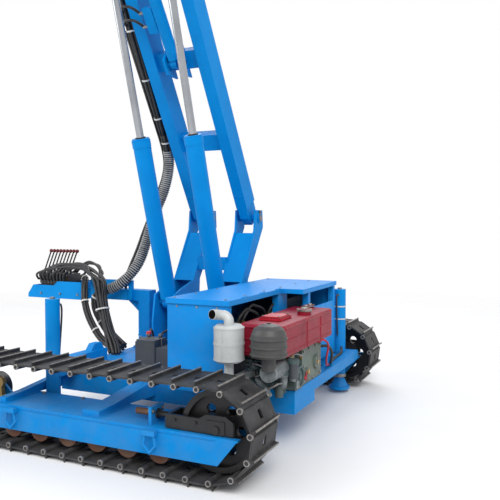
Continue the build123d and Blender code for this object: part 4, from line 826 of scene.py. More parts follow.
def photo_camera(scene):
    """Camera where the photographer stood."""
    view = scene.rig_camera
    camera = bpy.data.cameras.new("photo_camera")
    camera.lens, camera.sensor_width, camera.clip_end = view.lens, 36, 100
    eye = linked("photo_camera", camera)
    eye.location = at(*view.place)
    face_point(eye, (*view.heading, -math.tan(view.dip)))
    scene.camera = eye
    return eye


def pale_floor():
    """Floor that fades out towards the white background."""
    bm = bmesh.new()
    bmesh.ops.create_grid(bm, x_segments=1, y_segments=1, size=FLOOR_HALF)
    mesh = bpy.data.meshes.new("floor")
    bm.to_mesh(mesh)
    bm.free()
    floor = linked("floor", mesh)
    ground = bpy.data.materials.new("floor_pale")
    mesh.materials.append(ground)
    tree, shader = nodes_of(ground)
    coords = add_node(tree, "TexCoord").outputs["Object"]
    pale = mix(tree, ramp(tree, noise(tree, coords, 0.8, 6.0), 0.3, 0.7), (0.80, 0.80, 0.80),
               (0.74, 0.74, 0.745))
    set_inputs(tree, shader, {"Base Color": pale, "Roughness": 0.8})
    far = add_node(tree, "VectorMath", {0: coords}, operation="LENGTH")
    clear = add_node(tree, "BsdfTransparent")
    fade = add_node(tree, "MixShader", {0: ramp(tree, far.outputs["Value"], *FLOOR_FADE),
                                        1: shader.outputs["BSDF"], 2: clear.outputs["BSDF"]})
    out = next(n for n in tree.nodes if n.type == "OUTPUT_MATERIAL")
    set_inputs(tree, out, {"Surface": fade.outputs["Shader"]})
    return floor


def area_lamp(name, place, energy, size):
    """Square lamp that looks at the machine."""
    light = bpy.data.lights.new(name, "AREA")
    light.energy, light.size = energy, size
    lamp = linked(name, light)
    lamp.location = at(*place)
    face_point(lamp, at(*LAMP_TARGET) - lamp.location)
    return lamp


def light_world(scene):
    """Soft light from all round, with a white background for the camera."""
    world = scene.world or bpy.data.worlds.new("world")
    scene.world = world
    world.use_nodes = True
    tree = world.node_tree
    tree.nodes.clear()
    soft = add_node(tree, "Background", {"Color": (0.95, 0.97, 1.0), "Strength": 0.76})
    white = add_node(tree, "Background", {"Color": (1, 1, 1)})
    ray = add_node(tree, "LightPath")
    seen = ray.outputs["Is Camera Ray"]
    for other in ("Is Glossy Ray", "Is Transmission Ray"):
        seen = maths(tree, "MAXIMUM", seen, ray.outputs[other])
    choose = add_node(tree, "MixShader", {0: seen, 1: soft.outputs[0], 2: white.outputs[0]})
    add_node(tree, "OutputWorld", {"Surface": choose.outputs[0]})


# Operators

class RIG_OT_stage(bpy.types.Operator):
    """Floor, light, background and the photographer's camera"""
    bl_idname = "rig.stage"
    bl_label = "Stage"

    def execute(self, context):
        scene = context.scene
        eye = photo_camera(scene)
        pale_floor()
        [area_lamp(*row) for row in LAMPS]
        light_world(scene)
        scene.view_settings.view_transform = "Standard"
        return {"FINISHED"}


class RIG_OT_paint(bpy.types.Operator):
    """Gives every CAD piece its finish"""
    bl_idname = "rig.paint"
    bl_label = "Paint"

    def execute(self, context):
        for name, (base, tone, more) in finishes(context.scene.rig_paint).items():
            MATERIALS[name] = finish(name, base, tone, **more)
        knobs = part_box("valve_bank")[1][2] - 0.034
        MATERIALS["valves"] = two_tone("valves", (0.03, 0.032, 0.035), (0.10, 0.006, 0.010), knobs,
                                       rough=0.4, metal=0.3, bump=0.2)
        wanted = {s["node"]: s["material_slot"] for s in frame["record"]["subparts"]}
        wanted.update(cabinet_top="sheet_blue", cabinet_panels="sheet_blue", valve_bank="valves")
        for name, node in frame["nodes"].items():
            node.data.materials.clear()
            node.data.materials.append(MATERIALS[wanted[name]])
        return {"FINISHED"}


class RIG_OT_hoses(bpy.types.Operator):
    """Hose bundles and single hoses along their routes, with their ties"""
    bl_idname = "rig.hoses"
    bl_label = "Hoses"

    def execute(self, context):
        hoses = context.scene.rig_hose
        beside = hoses.side + hoses.bundle + hoses.thin + 0.004
        top = on_boom(hoses.side, hoses.free_from, hoses.front)
        route = [top, on_boom(hoses.side, hoses.free_from - 0.17, hoses.front)]
        line = line_of("boom_hose_route", route + [at(*p) for p in BUNDLE_ROUTE])
        bm, ribs = meshes(2)
        add_strands(bm, line, hoses.bundle)
        bundle = new_piece("boom_hose_bundle", bm, "hose_rubber", smooth=True)
        ties = ties_along("boom_hose_ties", line, hoses.bundle, BUNDLE_TIES)
        first, last = (round(share * len(line)) for share in SLEEVE)
        add_ribs(ribs, soft_path(line[first:last], 8), hoses.bundle, RIB_PITCH)
        sleeve = new_piece("boom_hose_sleeve", ribs, "sleeve_ring")
        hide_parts("boom_hose_loop")

        start = on_boom(beside, hoses.free_from, hoses.front)
        route = [start, on_boom(beside, hoses.free_from - 0.165, hoses.front)]
        curve = spline_of("boom_hose_single", route + [at(*p) for p in THIN_ROUTE])
        curve.data.bevel_depth = hoses.thin
        curve.data.use_fill_caps = True
        curve.data.materials.append(MATERIALS["hose_rubber"])
        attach(curve, "root")
        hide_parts("boom_hose_thin")

        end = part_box("valve_bank")[0].x - middle().x
        route = [at(*p) for p in ((end - 0.0003, VALVE_Y, 0.85), *VALVE_ROUTE)]
        line = line_of("valve_hose_route", route)
        bm, clips = meshes(2)
        add_strands(bm, line, hoses.feed)
        feeding = new_piece("valve_hose_bundle", bm, "hose_rubber", smooth=True)
        ties = ties_along("valve_hose_ties", line, hoses.feed, VALVE_TIES)
        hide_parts("console_hoses")

        bm = bmesh.new()
        low, high = CLIPPED_FROM, context.scene.rig_boom.length - CLIPPED_SHORT
        steps = 40
        add_strands(bm, [on_boom(hoses.side, low + (high - low) * i / steps, hoses.front)
                         for i in range(steps + 1)], hoses.bundle)
        add_pipe(bm, [on_boom(beside, station, hoses.front)
                      for station in (low, *THIN_STATIONS)], hoses.thin, 12)
        clipped = new_piece("boom_hose_clipped", bm, "hose_rubber", body="boom", smooth=True)
        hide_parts("boom_hose_clamped")
        upwards = on_boom(0, 1, 0) - on_boom(0, 0, 0)
        for station in CLIP_STATIONS:
            add_band(clips, on_boom(hoses.side, station, hoses.front), upwards, hoses.bundle,
                     0.012)
        new_piece("clipped_hose_ties", clips, "white_tie", body="boom")
        return {"FINISHED"}


class RIG_OT_tracks(bpy.types.Operator):
    """Pin ends in the shoes' hinge tubes, worn grouser edges and wheel bolts"""
    bl_idname = "rig.tracks"
    bl_label = "Tracks"

    def execute(self, context):
        track = context.scene.rig_track
        for name, plane, faces in (("left", track.plane, SIDES), ("right", -track.plane, (1,))):
            pins, worn = meshes(2)
            for start, along, outward in shoe_rows():
                for face in faces:
                    add_band(pins, at(start[0], plane + face * TUBE_END, start[1]), Y, 0.0105,
                             0.01, 0.0055, 16)
                corners = [(start[0] + u * along[0] + v * outward[0],
                            start[1] + u * along[1] + v * outward[1]) for u, v in GROUSER_EDGE]
                add_prism(worn, corners, plane - EDGE_END, plane + EDGE_END)
            new_piece("hinge_rings_" + name, pins, "worn_steel")
            new_piece("grouser_edges_" + name, worn, "worn_steel")
        bm = bmesh.new()
        for side in SIDES:
            y, out = side * track.plane, side * Y
            for face in SIDES:
                hub = at(-track.reach, y + face * HUB_FACE, track.height)
                add_disc(bm, hub + face * 0.004 * Y, face * Y, 0.03, 0.008)
                add_bolt_ring(bm, hub, face * Y, 0.039, 6, 0.0065)
            motor = at(track.reach, y, track.height)
            add_bolt_ring(bm, motor + FLANGE_FACE * out, out, 0.077, 10, 0.007)
            add_bolt_ring(bm, motor + CAP_FACE * out, out, 0.046, 6, 0.007)
            add_bolt_ring(bm, motor + SPROCKET_FACE * out, -out, 0.118, 8, 0.008)
        new_piece("wheel_bolts", bm, "bolt_steel")
        return {"FINISHED"}


class RIG_OT_chassis(bpy.types.Operator):
    """Bolts, welds and fittings of the track frames, chassis and slewing ring"""
    bl_idname = "rig.chassis"
    bl_label = "Chassis"

    def execute(self, context):
        boom = context.scene.rig_boom
        screws, bolts, welds, caps, dark_welds, ring = meshes(6)
        for side in SIDES:
            plane = side * context.scene.rig_track.plane
            for x, face in BRACKET_FACES:
                add_bolts(bolts, face * X, 0.009, [(x, plane + y, z) for y, z in BRACKET_BOLTS])
            start, length = PLATE_WELD_Y
            for x in PLATE_WELDS:
                weld_from(welds, x, side * start, PLATE_TOP + 0.0005, (0, side * length, 0), 0.005)
            add_bolts(bolts, Z, 0.01, [(x, side * PLATE_BOLT_Y, PLATE_TOP) for x in PLATE_BOLTS])
            (cap_x0, cap_z0), (cap_x1, cap_z1) = YOKE_CAP
            weld_x, foot, height = YOKE_WELD
            for face in (-1, 1):
                y = plane + face * YOKE_SIDE
                add_bolts(caps, face * Y, 0.0085, [(x, y, YOKE_BOLT_Z) for x in YOKE_BOLT_XS])
                low, high = sorted((y - face * 0.0003, y + face * 0.0045))
                add_box(caps, (cap_x0, low, cap_z0), (cap_x1, high, cap_z1))
                axle = at(AXLE_END[0], y + face * 0.008, AXLE_END[1])
                add_disc(caps, axle, face * Y, 0.021, 0.008)
                weld_from(dark_welds, weld_x, y - face * 0.0005, foot, (0, 0, height), 0.0035)
            x, length, y, z = OUTER_WELD
            weld_from(welds, x, side * y, z, (length, 0, 0), 0.0035)
            thread = [at(SCREW_X + THREAD * k, plane, SCREW_Z) for k in range(TURNS)]
            add_tube(screws, carried(thread), [(0, 0)] * TURNS,
                     [SCREW_RADII[k % 2] for k in range(TURNS)], 14)
        add_bolts(bolts, Z, 0.008, [(x, y, DECK_BOLT_Z) for x in (-0.6, -0.35, -0.1, 0.15, 0.4)
                                    for y in (-0.57, 0.57)])
        new_pieces(tension_screws=(screws, "roller_rust"), frame_bolts=(bolts, "bolt_steel"),
                   frame_welds=(welds, "blue_paint"), yoke_caps=(caps, "black_paint"),
                   yoke_welds=(dark_welds, "black_paint"))
        for x, y in circle_of(STAND_CIRCLE, STAND_BOLTS, 0.5):
            under_leg = abs(y) < LEG_HALF_Y and abs(abs(x) - boom.spread) < LEG_HALF_X
            if not under_leg:
                add_bolt(ring, at(boom.slew[0] + x, boom.slew[1] + y, STAND_BOLT_Z), Z, 0.011)
        new_piece("stand_bolts", ring, "bolt_steel", body="boom_stand_body")
        return {"FINISHED"}


class RIG_OT_boom(bpy.types.Operator):
    """Pins, welds, glands, ports and small hoses of the boom and its cylinders"""
    bl_idname = "rig.boom"
    bl_label = "Boom"

    def execute(self, context):
        boom = context.scene.rig_boom
        beams = (-boom.spread, boom.spread)
        stand, stand_bolts, pins, bolts, welds = meshes(5)
        for beam in beams:
            for (y, z), pin in ((boom.knee, 0.026), (LIFT_FOOT, 0.024)):
                for cheek in (-1, 1):
                    x = boom.slew[0] + beam + cheek * PIN_CHEEK
                    add_disc(stand, at(x + cheek * 0.002, y, z), cheek * X, pin, 0.004)
                    x = boom.slew[0] + beam + cheek * KEEPER_CHEEK
                    add_box(stand, (x - 0.003, y - 0.014, z + pin + 0.002),
                            (x + 0.003, y + 0.014, z + pin + 0.034))
                    add_bolt(stand_bolts, at(x + cheek * 0.003, y, z + pin + 0.022), cheek * X,
                             0.007)
        new_pieces("boom_stand_body", stand_pins=(stand, "drill_steel"),
                   stand_pin_bolts=(stand_bolts, "bolt_steel"))

        for beam in beams:
            for cheek in (-1, 1):
                add_disc(pins, on_boom(beam + cheek * EYE_CHEEK, *LIFT_EYE), cheek * X, 0.024,
                         0.006)
                out, *spot = KEEPER_BOLT
                add_bolt(bolts, on_boom(beam + cheek * out, *spot), cheek * X, 0.007)
            for station in (END_WELD, boom.length - END_WELD):
                for offset in (-END_DEPTH, END_DEPTH):
                    add_weld(welds, *(on_boom(beam + x, station, offset)
                                      for x in (-END_HALF, END_HALF)), 0.004)
        for station in BOOM_TIES:
            for face in (-1, 1):
                for edge in (-TIE_EDGE, TIE_EDGE):
                    add_weld(welds, *(on_boom(face * (boom.spread - BEAM_FACE), station + edge,
                                              offset)
                                      for offset in (-TIE_DEPTH, TIE_DEPTH)), 0.0045)
        for cheek in (-1, 1):
            out, *spot = LEVEL_PIN
            add_disc(pins, on_boom(cheek * out, *spot), cheek * X, 0.018, 0.004, 20)
            out, *spot = LEVEL_KEEPER
            add_bolt(bolts, on_boom(cheek * out, *spot), cheek * X, 0.0065)
        new_pieces("boom", boom_pins=(pins, "black_paint"), boom_bolts=(bolts, "bolt_steel"),
                   boom_welds=(welds, "blue_paint"))
        self.level_cylinder()
        self.lift_cylinders(beams)
        return {"FINISHED"}

    def level_cylinder(self):
        """Two short hoses over the levelling cylinder, with their fittings."""
        fittings, small = meshes(2)
        x, station, offset = LEVEL_PORT
        for rise in (0.0, LEVEL_NEXT):
            port = on_boom(x, station + rise, offset + 0.012 * rise)
            line = [on_boom(across, along + rise, front) for across, along, front in LEVEL_HOSE]
            line.append(port + Vector((0.03, 0, 0.003)))
            add_pipe(small, soft_path(line), 0.0095)
            add_disc(fittings, port + 0.006 * X, X, 0.0125, 0.03, 6)
            add_disc(fittings, port + 0.025 * X, X, 0.011, 0.016, 12)
        new_pieces("boom", level_hoses=(small, "hose_rubber", True),
                   level_fittings=(fittings, "bolt_steel"))

    def lift_cylinders(self, beams):
        """Glands, wipers, ports and pipes on the lift cylinders' barrels."""
        slew = bpy.context.scene.rig_boom.slew
        lean = on_boom(0, *LIFT_EYE) - at(slew[0], *LIFT_FOOT)
        lean.normalize()
        back = Vector((0, -lean.z, lean.y))
        glands, ports, pipes, wipers = meshes(4)
        for beam in beams:
            base = at(slew[0] + beam, *LIFT_FOOT)
            add_band(glands, base + lean * GLAND, lean, 0.062, 0.05, 0.0035, 36)
            add_band(glands, base + lean * GLAND_FACE, lean, 0.0275, 0.008, 0.032, 36)
            add_band(wipers, base + lean * WIPER, lean, 0.0268, 0.01, 0.009)
            for way in LIFT_PORTS:
                spot = base + lean * way
                add_disc(ports, spot + back * 0.07, back, 0.015, 0.03, 6)
                add_disc(ports, spot + back * 0.092, back, 0.0115, 0.016, 6)
            add_pipe(pipes, soft_path([base + lean * way + back * off
                                       for way, off in LIFT_PIPE]), 0.007)
        new_pieces("lift_barrels_body", lift_glands=(glands, "blue_paint"),
                   lift_wipers=(wipers, "hose_rubber"), lift_ports=(ports, "black_paint"),
                   lift_pipes=(pipes, "hose_rubber", True))


class RIG_OT_cabinet(bpy.types.Operator):
    """Screws, hinges and hoses of the cabinet, and the battery's leads"""
    bl_idname = "rig.cabinet"
    bl_label = "Cabinet"

    def execute(self, context):
        screws, hinges, inside, ends, caps, leads, posts = meshes(7)
        (top_xs, ys), (wall_xs, zs) = TOP_SCREWS, WALL_SCREWS
        add_discs(screws, *((x, y, CABINET_TOP + 0.002, Z, 0.0075, 0.004, 12)
                            for x in top_xs for y in ys))
        add_discs(screws, *((x, CABINET_NEAR, z, Y, 0.006, 0.003, 12)
                            for x in wall_xs for z in zs))
        for y in CABINET_HINGES:
            add_box(hinges, (-0.7045, y - 0.03, CABINET_TOP - 0.004),
                    (-0.692, y + 0.03, CABINET_TOP + 0.0025))
            add_disc(hinges, at(-0.704, y, CABINET_TOP + 0.001), Y, 0.005, 0.066, 12)
        new_pieces(cabinet_screws=(screws, "bolt_steel"), cabinet_hinges=(hinges, "sheet_blue"))

        for y, reach, z in CABINET_HOSES:
            line = ((-0.645, y, 0.7), (-0.66, y - 0.02, 0.745), (-0.665, y - 0.08, z),
                    (-0.665, y - 0.5 * reach, z - 0.01), (-0.665, y - 0.85 * reach, z - 0.04),
                    (-0.66, y - reach, 0.71), (-0.645, y - reach, 0.66))
            add_soft_pipe(inside, line, 0.0105)
            for end in (line[0], line[-1]):
                add_disc(ends, at(*end) + Vector((-0.002, 0, -0.004)), (-0.7, 0, 1), 0.015, 0.03, 6)
        new_pieces(cabinet_hoses=(inside, "hose_rubber", True), cabinet_fittings=(ends, "brass"))

        for x, sway in zip(BATTERY_POSTS, (-0.02, 0.02)):
            add_disc(posts, at(x, POST_Y, POST_Z), Z, 0.016, 0.01, 16)
            add_box(posts, (x - 0.008, 0.446, 0.582), (x + 0.008, 0.482, 0.587))
            add_soft_pipe(leads, ((x, 0.455, 0.588), (x + sway, 0.415, 0.6),
                                  (x + 1.2 * sway, 0.385, 0.56), (x + sway, 0.375, 0.46),
                                  (x + 0.5 * sway, 0.37, 0.345)), 0.0075)
        add_disc(caps, at(BATTERY_POSTS[1], POST_Y, POST_Z + 0.013), Z, 0.019, 0.014, 20, 0.8)
        add_box(posts, (-0.096, 0.505, 0.56), (0.046, 0.517, 0.5635))
        for x in CLAMP_RODS:
            add_pipe(posts, [at(x, CLAMP_Y, z) for z in (0.345, CLAMP_Z + 0.007)], 0.0035, 8)
            add_bolt(posts, at(x, CLAMP_Y, CLAMP_Z), Z, 0.007)
        new_pieces(battery_cap=(caps, "red_cap"), battery_leads=(leads, "hose_rubber", True),
                   battery_posts=(posts, "bolt_steel"))
        return {"FINISHED"}


class RIG_OT_engine(bpy.types.Operator):
    """Bolts, pipes, caps and seams of the engine, tank, air cleaner and muffler"""
    bl_idname = "rig.engine"
    bl_label = "Engine"

    def execute(self, context):
        bolts, pipes, brass, castings, bright, filters, red, leads = meshes(8)
        for row in ENGINE_BOLTS:
            add_bolts(bolts, *row)
        for centre, *row in ENGINE_RINGS:
            add_bolt_ring(bolts, at(*centre), *row)
        for bm, rows in ((castings, ENGINE_CASTINGS), (bright, ENGINE_BRIGHT),
                         (filters, ENGINE_FILTERS), (brass, ENGINE_BRASS), (bolts, ENGINE_NUTS)):
            add_discs(bm, *rows)
        for x, y, z, radius, depth in ENGINE_PORTS:
            add_disc(castings, at(x, y, z), Y, radius, depth, 20)
            add_disc(bright, at(x, y + depth / 2 + 0.003, z), Y, 0.6 * radius, 0.006, 6)
        for line in FUEL_PIPES:
            add_soft_pipe(pipes, line, 0.0055)
            for end, near in ((line[0], line[1]), (line[-1], line[-2])):
                axis = Vector(near) - Vector(end)
                add_disc(brass, at(*end) + axis.normalized() * 0.008, axis, 0.0095, 0.014, 6)
        for line in COVER_PIPES:
            add_soft_pipe(pipes, line, 0.006)
        for radius, sides, line in WIDE_PIPES:
            add_soft_pipe(bright, line, radius, sides)
        add_pipe(bright, [at(*p) for p in CLEANER_PIPE], 0.0465, 24)
        cover = add_box(castings, *GEAR_COVER)
        edges = list({e for v in cover["verts"] for e in v.link_edges})
        bmesh.ops.bevel(castings, geom=edges, offset=0.014, segments=3, affect="EDGES")
        for block in ENGINE_BLOCKS:
            add_box(castings, *block)
        new_pieces(engine_castings=(castings, "engine_teal"), engine_bright=(bright, "cast_alloy"),
                   engine_filter=(filters, "box_grey"))
        add_disc(red, at(-1.003, 0.345, 0.372), -X, 0.013, 0.014, 20)
        add_box(red, (-1.012, 0.341, 0.372), (-1.006, 0.349, 0.41))
        add_soft_pipe(red, RED_CABLE, 0.0065)
        add_soft_pipe(leads, FUEL_HOSE, 0.0095)
        new_pieces(engine_red=(red, "red_cap", True), engine_hose=(leads, "hose_rubber", True),
                   engine_bolts=(bolts, "bolt_steel"), engine_pipes=(pipes, "bolt_steel", True),
                   engine_brass=(brass, "brass"))
        self.tank()
        self.cleaner()
        self.muffler()
        return {"FINISHED"}

    def tank(self):
        """Seams, caps, lid, bolts and drain pipe of the tank."""
        seams, caps, lid, knobs = meshes(4)
        (x0, x1), (y0, y1), cut = TANK_X, TANK_Y, TANK_CORNER
        rim = ((x0 + cut, y0), (x1 - cut, y0), (x1, y0 + cut), (x1, y1 - cut),
               (x1 - cut, y1), (x0 + cut, y1), (x0, y1 - cut), (x0, y0 + cut))
        for z in TANK_SEAMS:
            for a, b in zip(rim, rim[1:] + rim[:1]):
                add_pipe(seams, [at(*a, z), at(*b, z)], 0.004, 8)
        for y in TANK_STRAPS:
            add_pipe(seams, [at(x0 + 0.001, y, z) for z in (0.57, 0.722)], 0.005, 8)
        new_piece("tank_seams", seams, "tank_red")
        for x, y, radius, rise in TANK_CAPS:
            z = TANK_TOP + rise
            add_band(caps, at(x, y, z - 0.008), Z, radius, 0.012, 0.004)
            add_disc(caps, at(x, y, z + 0.003), Z, radius * 0.55, 0.006, 20, 0.8)
            add_discs(caps, *((x + u, y + v, z - 0.008, Z, 0.0035, 0.014, 8)
                              for u, v in circle_of(radius + 0.003, 8)))
        new_piece("tank_caps", caps, "worn_steel")
        for step in TANK_LID:
            add_box(lid, *step)
        bmesh.ops.bevel(lid, geom=list(lid.edges), offset=0.003, segments=2, affect="EDGES")
        new_piece("tank_lid", lid, "red_cap")
        add_bolts(knobs, Z, 0.005, [(x, y, LID_TOP) for x, y in LID_BOLTS])
        add_disc(knobs, at(-0.93, 0.7465, 0.6), Y, 0.012, 0.012, 6)
        add_soft_pipe(knobs, DRAIN_PIPE, 0.005)
        new_piece("tank_fittings", knobs, "bolt_steel")

    def cleaner(self):
        """Clamps, vents and top nut of the air cleaner; the vents are near-black discs, painted
        shade of their openings.
        """
        clamps, vents = meshes(2)
        x, y = CLEANER
        for z in CLEANER_CLAMPS:
            add_band(clamps, at(x, y, z), Z, 0.0985, 0.006, 0.002, 40)
        add_box(clamps, (x + 0.02, y - 0.114, 0.638), (x + 0.05, y - 0.086, 0.654))
        add_disc(clamps, at(x + 0.035, y - 0.106, 0.646), X, 0.004, 0.05, 8)
        # Near-black discs round the neck stand in for the vent openings: painted shade of the
        # holes.
        for u, v in circle_of(VENT_CIRCLE, 16):
            add_disc(vents, at(x + u, y + v, VENT_Z), (u, v, 0), 0.006, 0.004, 8)
        add_disc(vents, at(x, y, CLEANER_NUT), Z, 0.01, 0.006, 6)
        new_pieces(cleaner_clamps=(clamps, "cleaner_grey"), cleaner_vents=(vents, "black_paint"))

    def muffler(self):
        """Seams, inlet collar and bent mouth of the muffler, with a near-black disc in the mouth as
        painted shade of the pipe's inside and its soot.
        """
        welds, mouth, hole = meshes(3)
        x, y = MUFFLER
        for z, width in MUFFLER_SEAMS:
            add_band(welds, at(x, y, z), Z, 0.0815, width, 0.003, 36)
        add_pipe(welds, [at(x, y + 0.0825, z) for z in (0.562, 0.728)], 0.0025, 6)
        add_band(welds, at(x, y, INLET_Z), Z, 0.0262, 0.018, 0.004, 24)
        new_piece("muffler_seams", welds, "muffler_grey")
        bend = soft_path([at(*p) for p in MUFFLER_MOUTH])
        add_pipe(mouth, bend, 0.0275, 20)
        # Near-black disc on the closed end of the mouth: painted shade of the pipe's inside, which
        # is not modelled, together with real soot.
        add_disc(hole, bend[-1], bend[-1] - bend[-2], 0.0245, 0.0014)
        new_pieces(muffler_mouth=(mouth, "muffler_grey", True), muffler_hole=(hole, "soot"))


class RIG_OT_console(bpy.types.Operator):
    """Valve fittings with their fan of hoses, plugs and the trough's bolts"""
    bl_idname = "rig.console"
    bl_label = "Console"

    def execute(self, context):
        plugs, brass, fan, bolts, ties = meshes(5)
        for index in range(VALVES):
            x = VALVE_START - VALVE_PITCH * (index + 0.5)
            for face in (-1, 1):
                y, out = VALVE_Y + face * BANK_HALF, face * Y
                add_disc(brass, at(x, y + face * 0.007, PORT_Z), out, 0.011, 0.014, 6)
                add_disc(plugs, at(x, y + face * 0.003, PLUG_Z), out, 0.009, 0.006, 16)
                for z in SCREW_ZS:
                    add_disc(bolts, at(x - 0.011, y + face * 0.0015, z), out, 0.0028, 0.003, 6)
            self.hoses_of(fan, index, x)
        for x in TROUGH_XS:
            for y, face in TROUGH_SIDES:
                add_bolt(bolts, at(x, y, TROUGH_Z), face * Y, 0.007)
        add_bolts(bolts, Z, 0.008, [(x, y, FOOT_Z) for x in FOOT_XS for y in FOOT_YS])
        add_band(ties, at(*FAN_TIE), FAN_AXIS, 0.05, 0.012, 0.003, 32)
        new_pieces(valve_fan_tie=(ties, "white_tie"), valve_plugs=(plugs, "bolt_steel"),
                   valve_fittings=(brass, "brass"), valve_hose_fan=(fan, "hose_rubber", True),
                   console_bolts=(bolts, "bolt_steel"))
        return {"FINISHED"}

    def hoses_of(self, fan, index, x):
        """A valve's hose down to the deck, and a second one over the bank from some valves."""
        sway, lean, turn = (random.uniform(-1, 1) for _ in range(3))
        lift = 0.925 + 0.014 * (index % 4) + 0.012 * sway
        row, rank = index % 3, index // 3
        low = [(0.835 - 0.03 * rank + 0.02 * turn, -0.058 + 0.021 * row, 0.85),
               (0.81 - 0.026 * rank, -0.047 + 0.021 * row, 0.74),
               (0.775 - 0.024 * rank, -0.032 + 0.021 * row, 0.625),
               (0.715 - 0.024 * rank + 0.01 * lean, 0.0 + 0.021 * row, 0.51),
               (0.645 - 0.026 * rank + 0.016 * turn, 0.035 + 0.023 * row, 0.405),
               (0.6 - 0.03 * rank, 0.07 + 0.025 * row, 0.342)]
        line = [(x, -0.176, PORT_Z), (x - 0.004, -0.148, 0.84),
                (x - 0.03, -0.13 + 0.01 * sway, 0.5 * (0.84 + lift)),
                (0.5 * (x + 1.1) + 0.02 * turn, -0.135 - 0.012 * row, lift),
                (1.03 + 0.03 * lean, -0.115 + 0.02 * turn, lift + 0.014 * lean),
                (0.905 + 0.02 * sway, -0.085 + 0.02 * row, lift - 0.035)] + low
        add_soft_pipe(fan, line, 0.0092 + 0.0012 * turn)
        if index % 2 or index == 4:
            back = [(x, -0.354, PORT_Z), (x - 0.004, -0.385, 0.845),
                    (x - 0.05, -0.4, 0.89 + 0.02 * sway), (1.2 + 0.03 * lean, -0.34, 0.95),
                    (1.07 + 0.03 * turn, -0.25, 0.975 + 0.012 * sway),
                    (0.93 + 0.02 * sway, -0.17, 0.955 + 0.015 * turn),
                    (0.84 + 0.015 * lean, -0.1, 0.905)]
            add_soft_pipe(fan, back + [(u - 0.012, v + 0.008, w) for u, v, w in low],
                          0.0088 + 0.001 * lean)


class RIG_OT_jacks(bpy.types.Operator):
    """White bands, gland collars and oil fittings of the jacks"""
    bl_idname = "rig.jacks"
    bl_label = "Jacks"

    def execute(self, context):
        bands, fittings, pipes, welds = meshes(4)
        for x, y, top in JACKS:
            side = 1 if y > 0 else -1
            for drop in FRONT_BANDS if x > 0 else REAR_BANDS:
                add_band(bands, at(x, y, top - drop), Z, JACK_BORE, 0.009, 0.002, 36)
            add_band(fittings, at(x, y, COLLAR_Z), Z, JACK_BORE - 0.0005, 0.024, 0.005, 36)
            add_disc(fittings, at(x, y, top + 0.006), Z, 0.016, 0.012, 6)
            for z in (top - 0.04, JACK_PORT_Z):
                add_disc(fittings, at(x, y - side * 0.053, z), -side * Y, 0.01, 0.018, 6)
            add_soft_pipe(pipes, [(x, y - side * off, z) for off, z in (
                (0.06, top - 0.04), (0.078, top - 0.05), (0.082, top - 0.12), (0.06, 0.48),
                (0.06, 0.445))], 0.006)
            if x > 0:
                for z in JACK_WELDS:
                    weld_from(welds, x - 0.048, y - side * 0.046, z, (0.086, 0, 0), 0.004)
        new_pieces(jack_bands=(bands, "white_tie"), jack_fittings=(fittings, "bolt_steel"),
                   jack_pipes=(pipes, "hose_rubber", True), jack_welds=(welds, "blue_paint"))
        return {"FINISHED"}


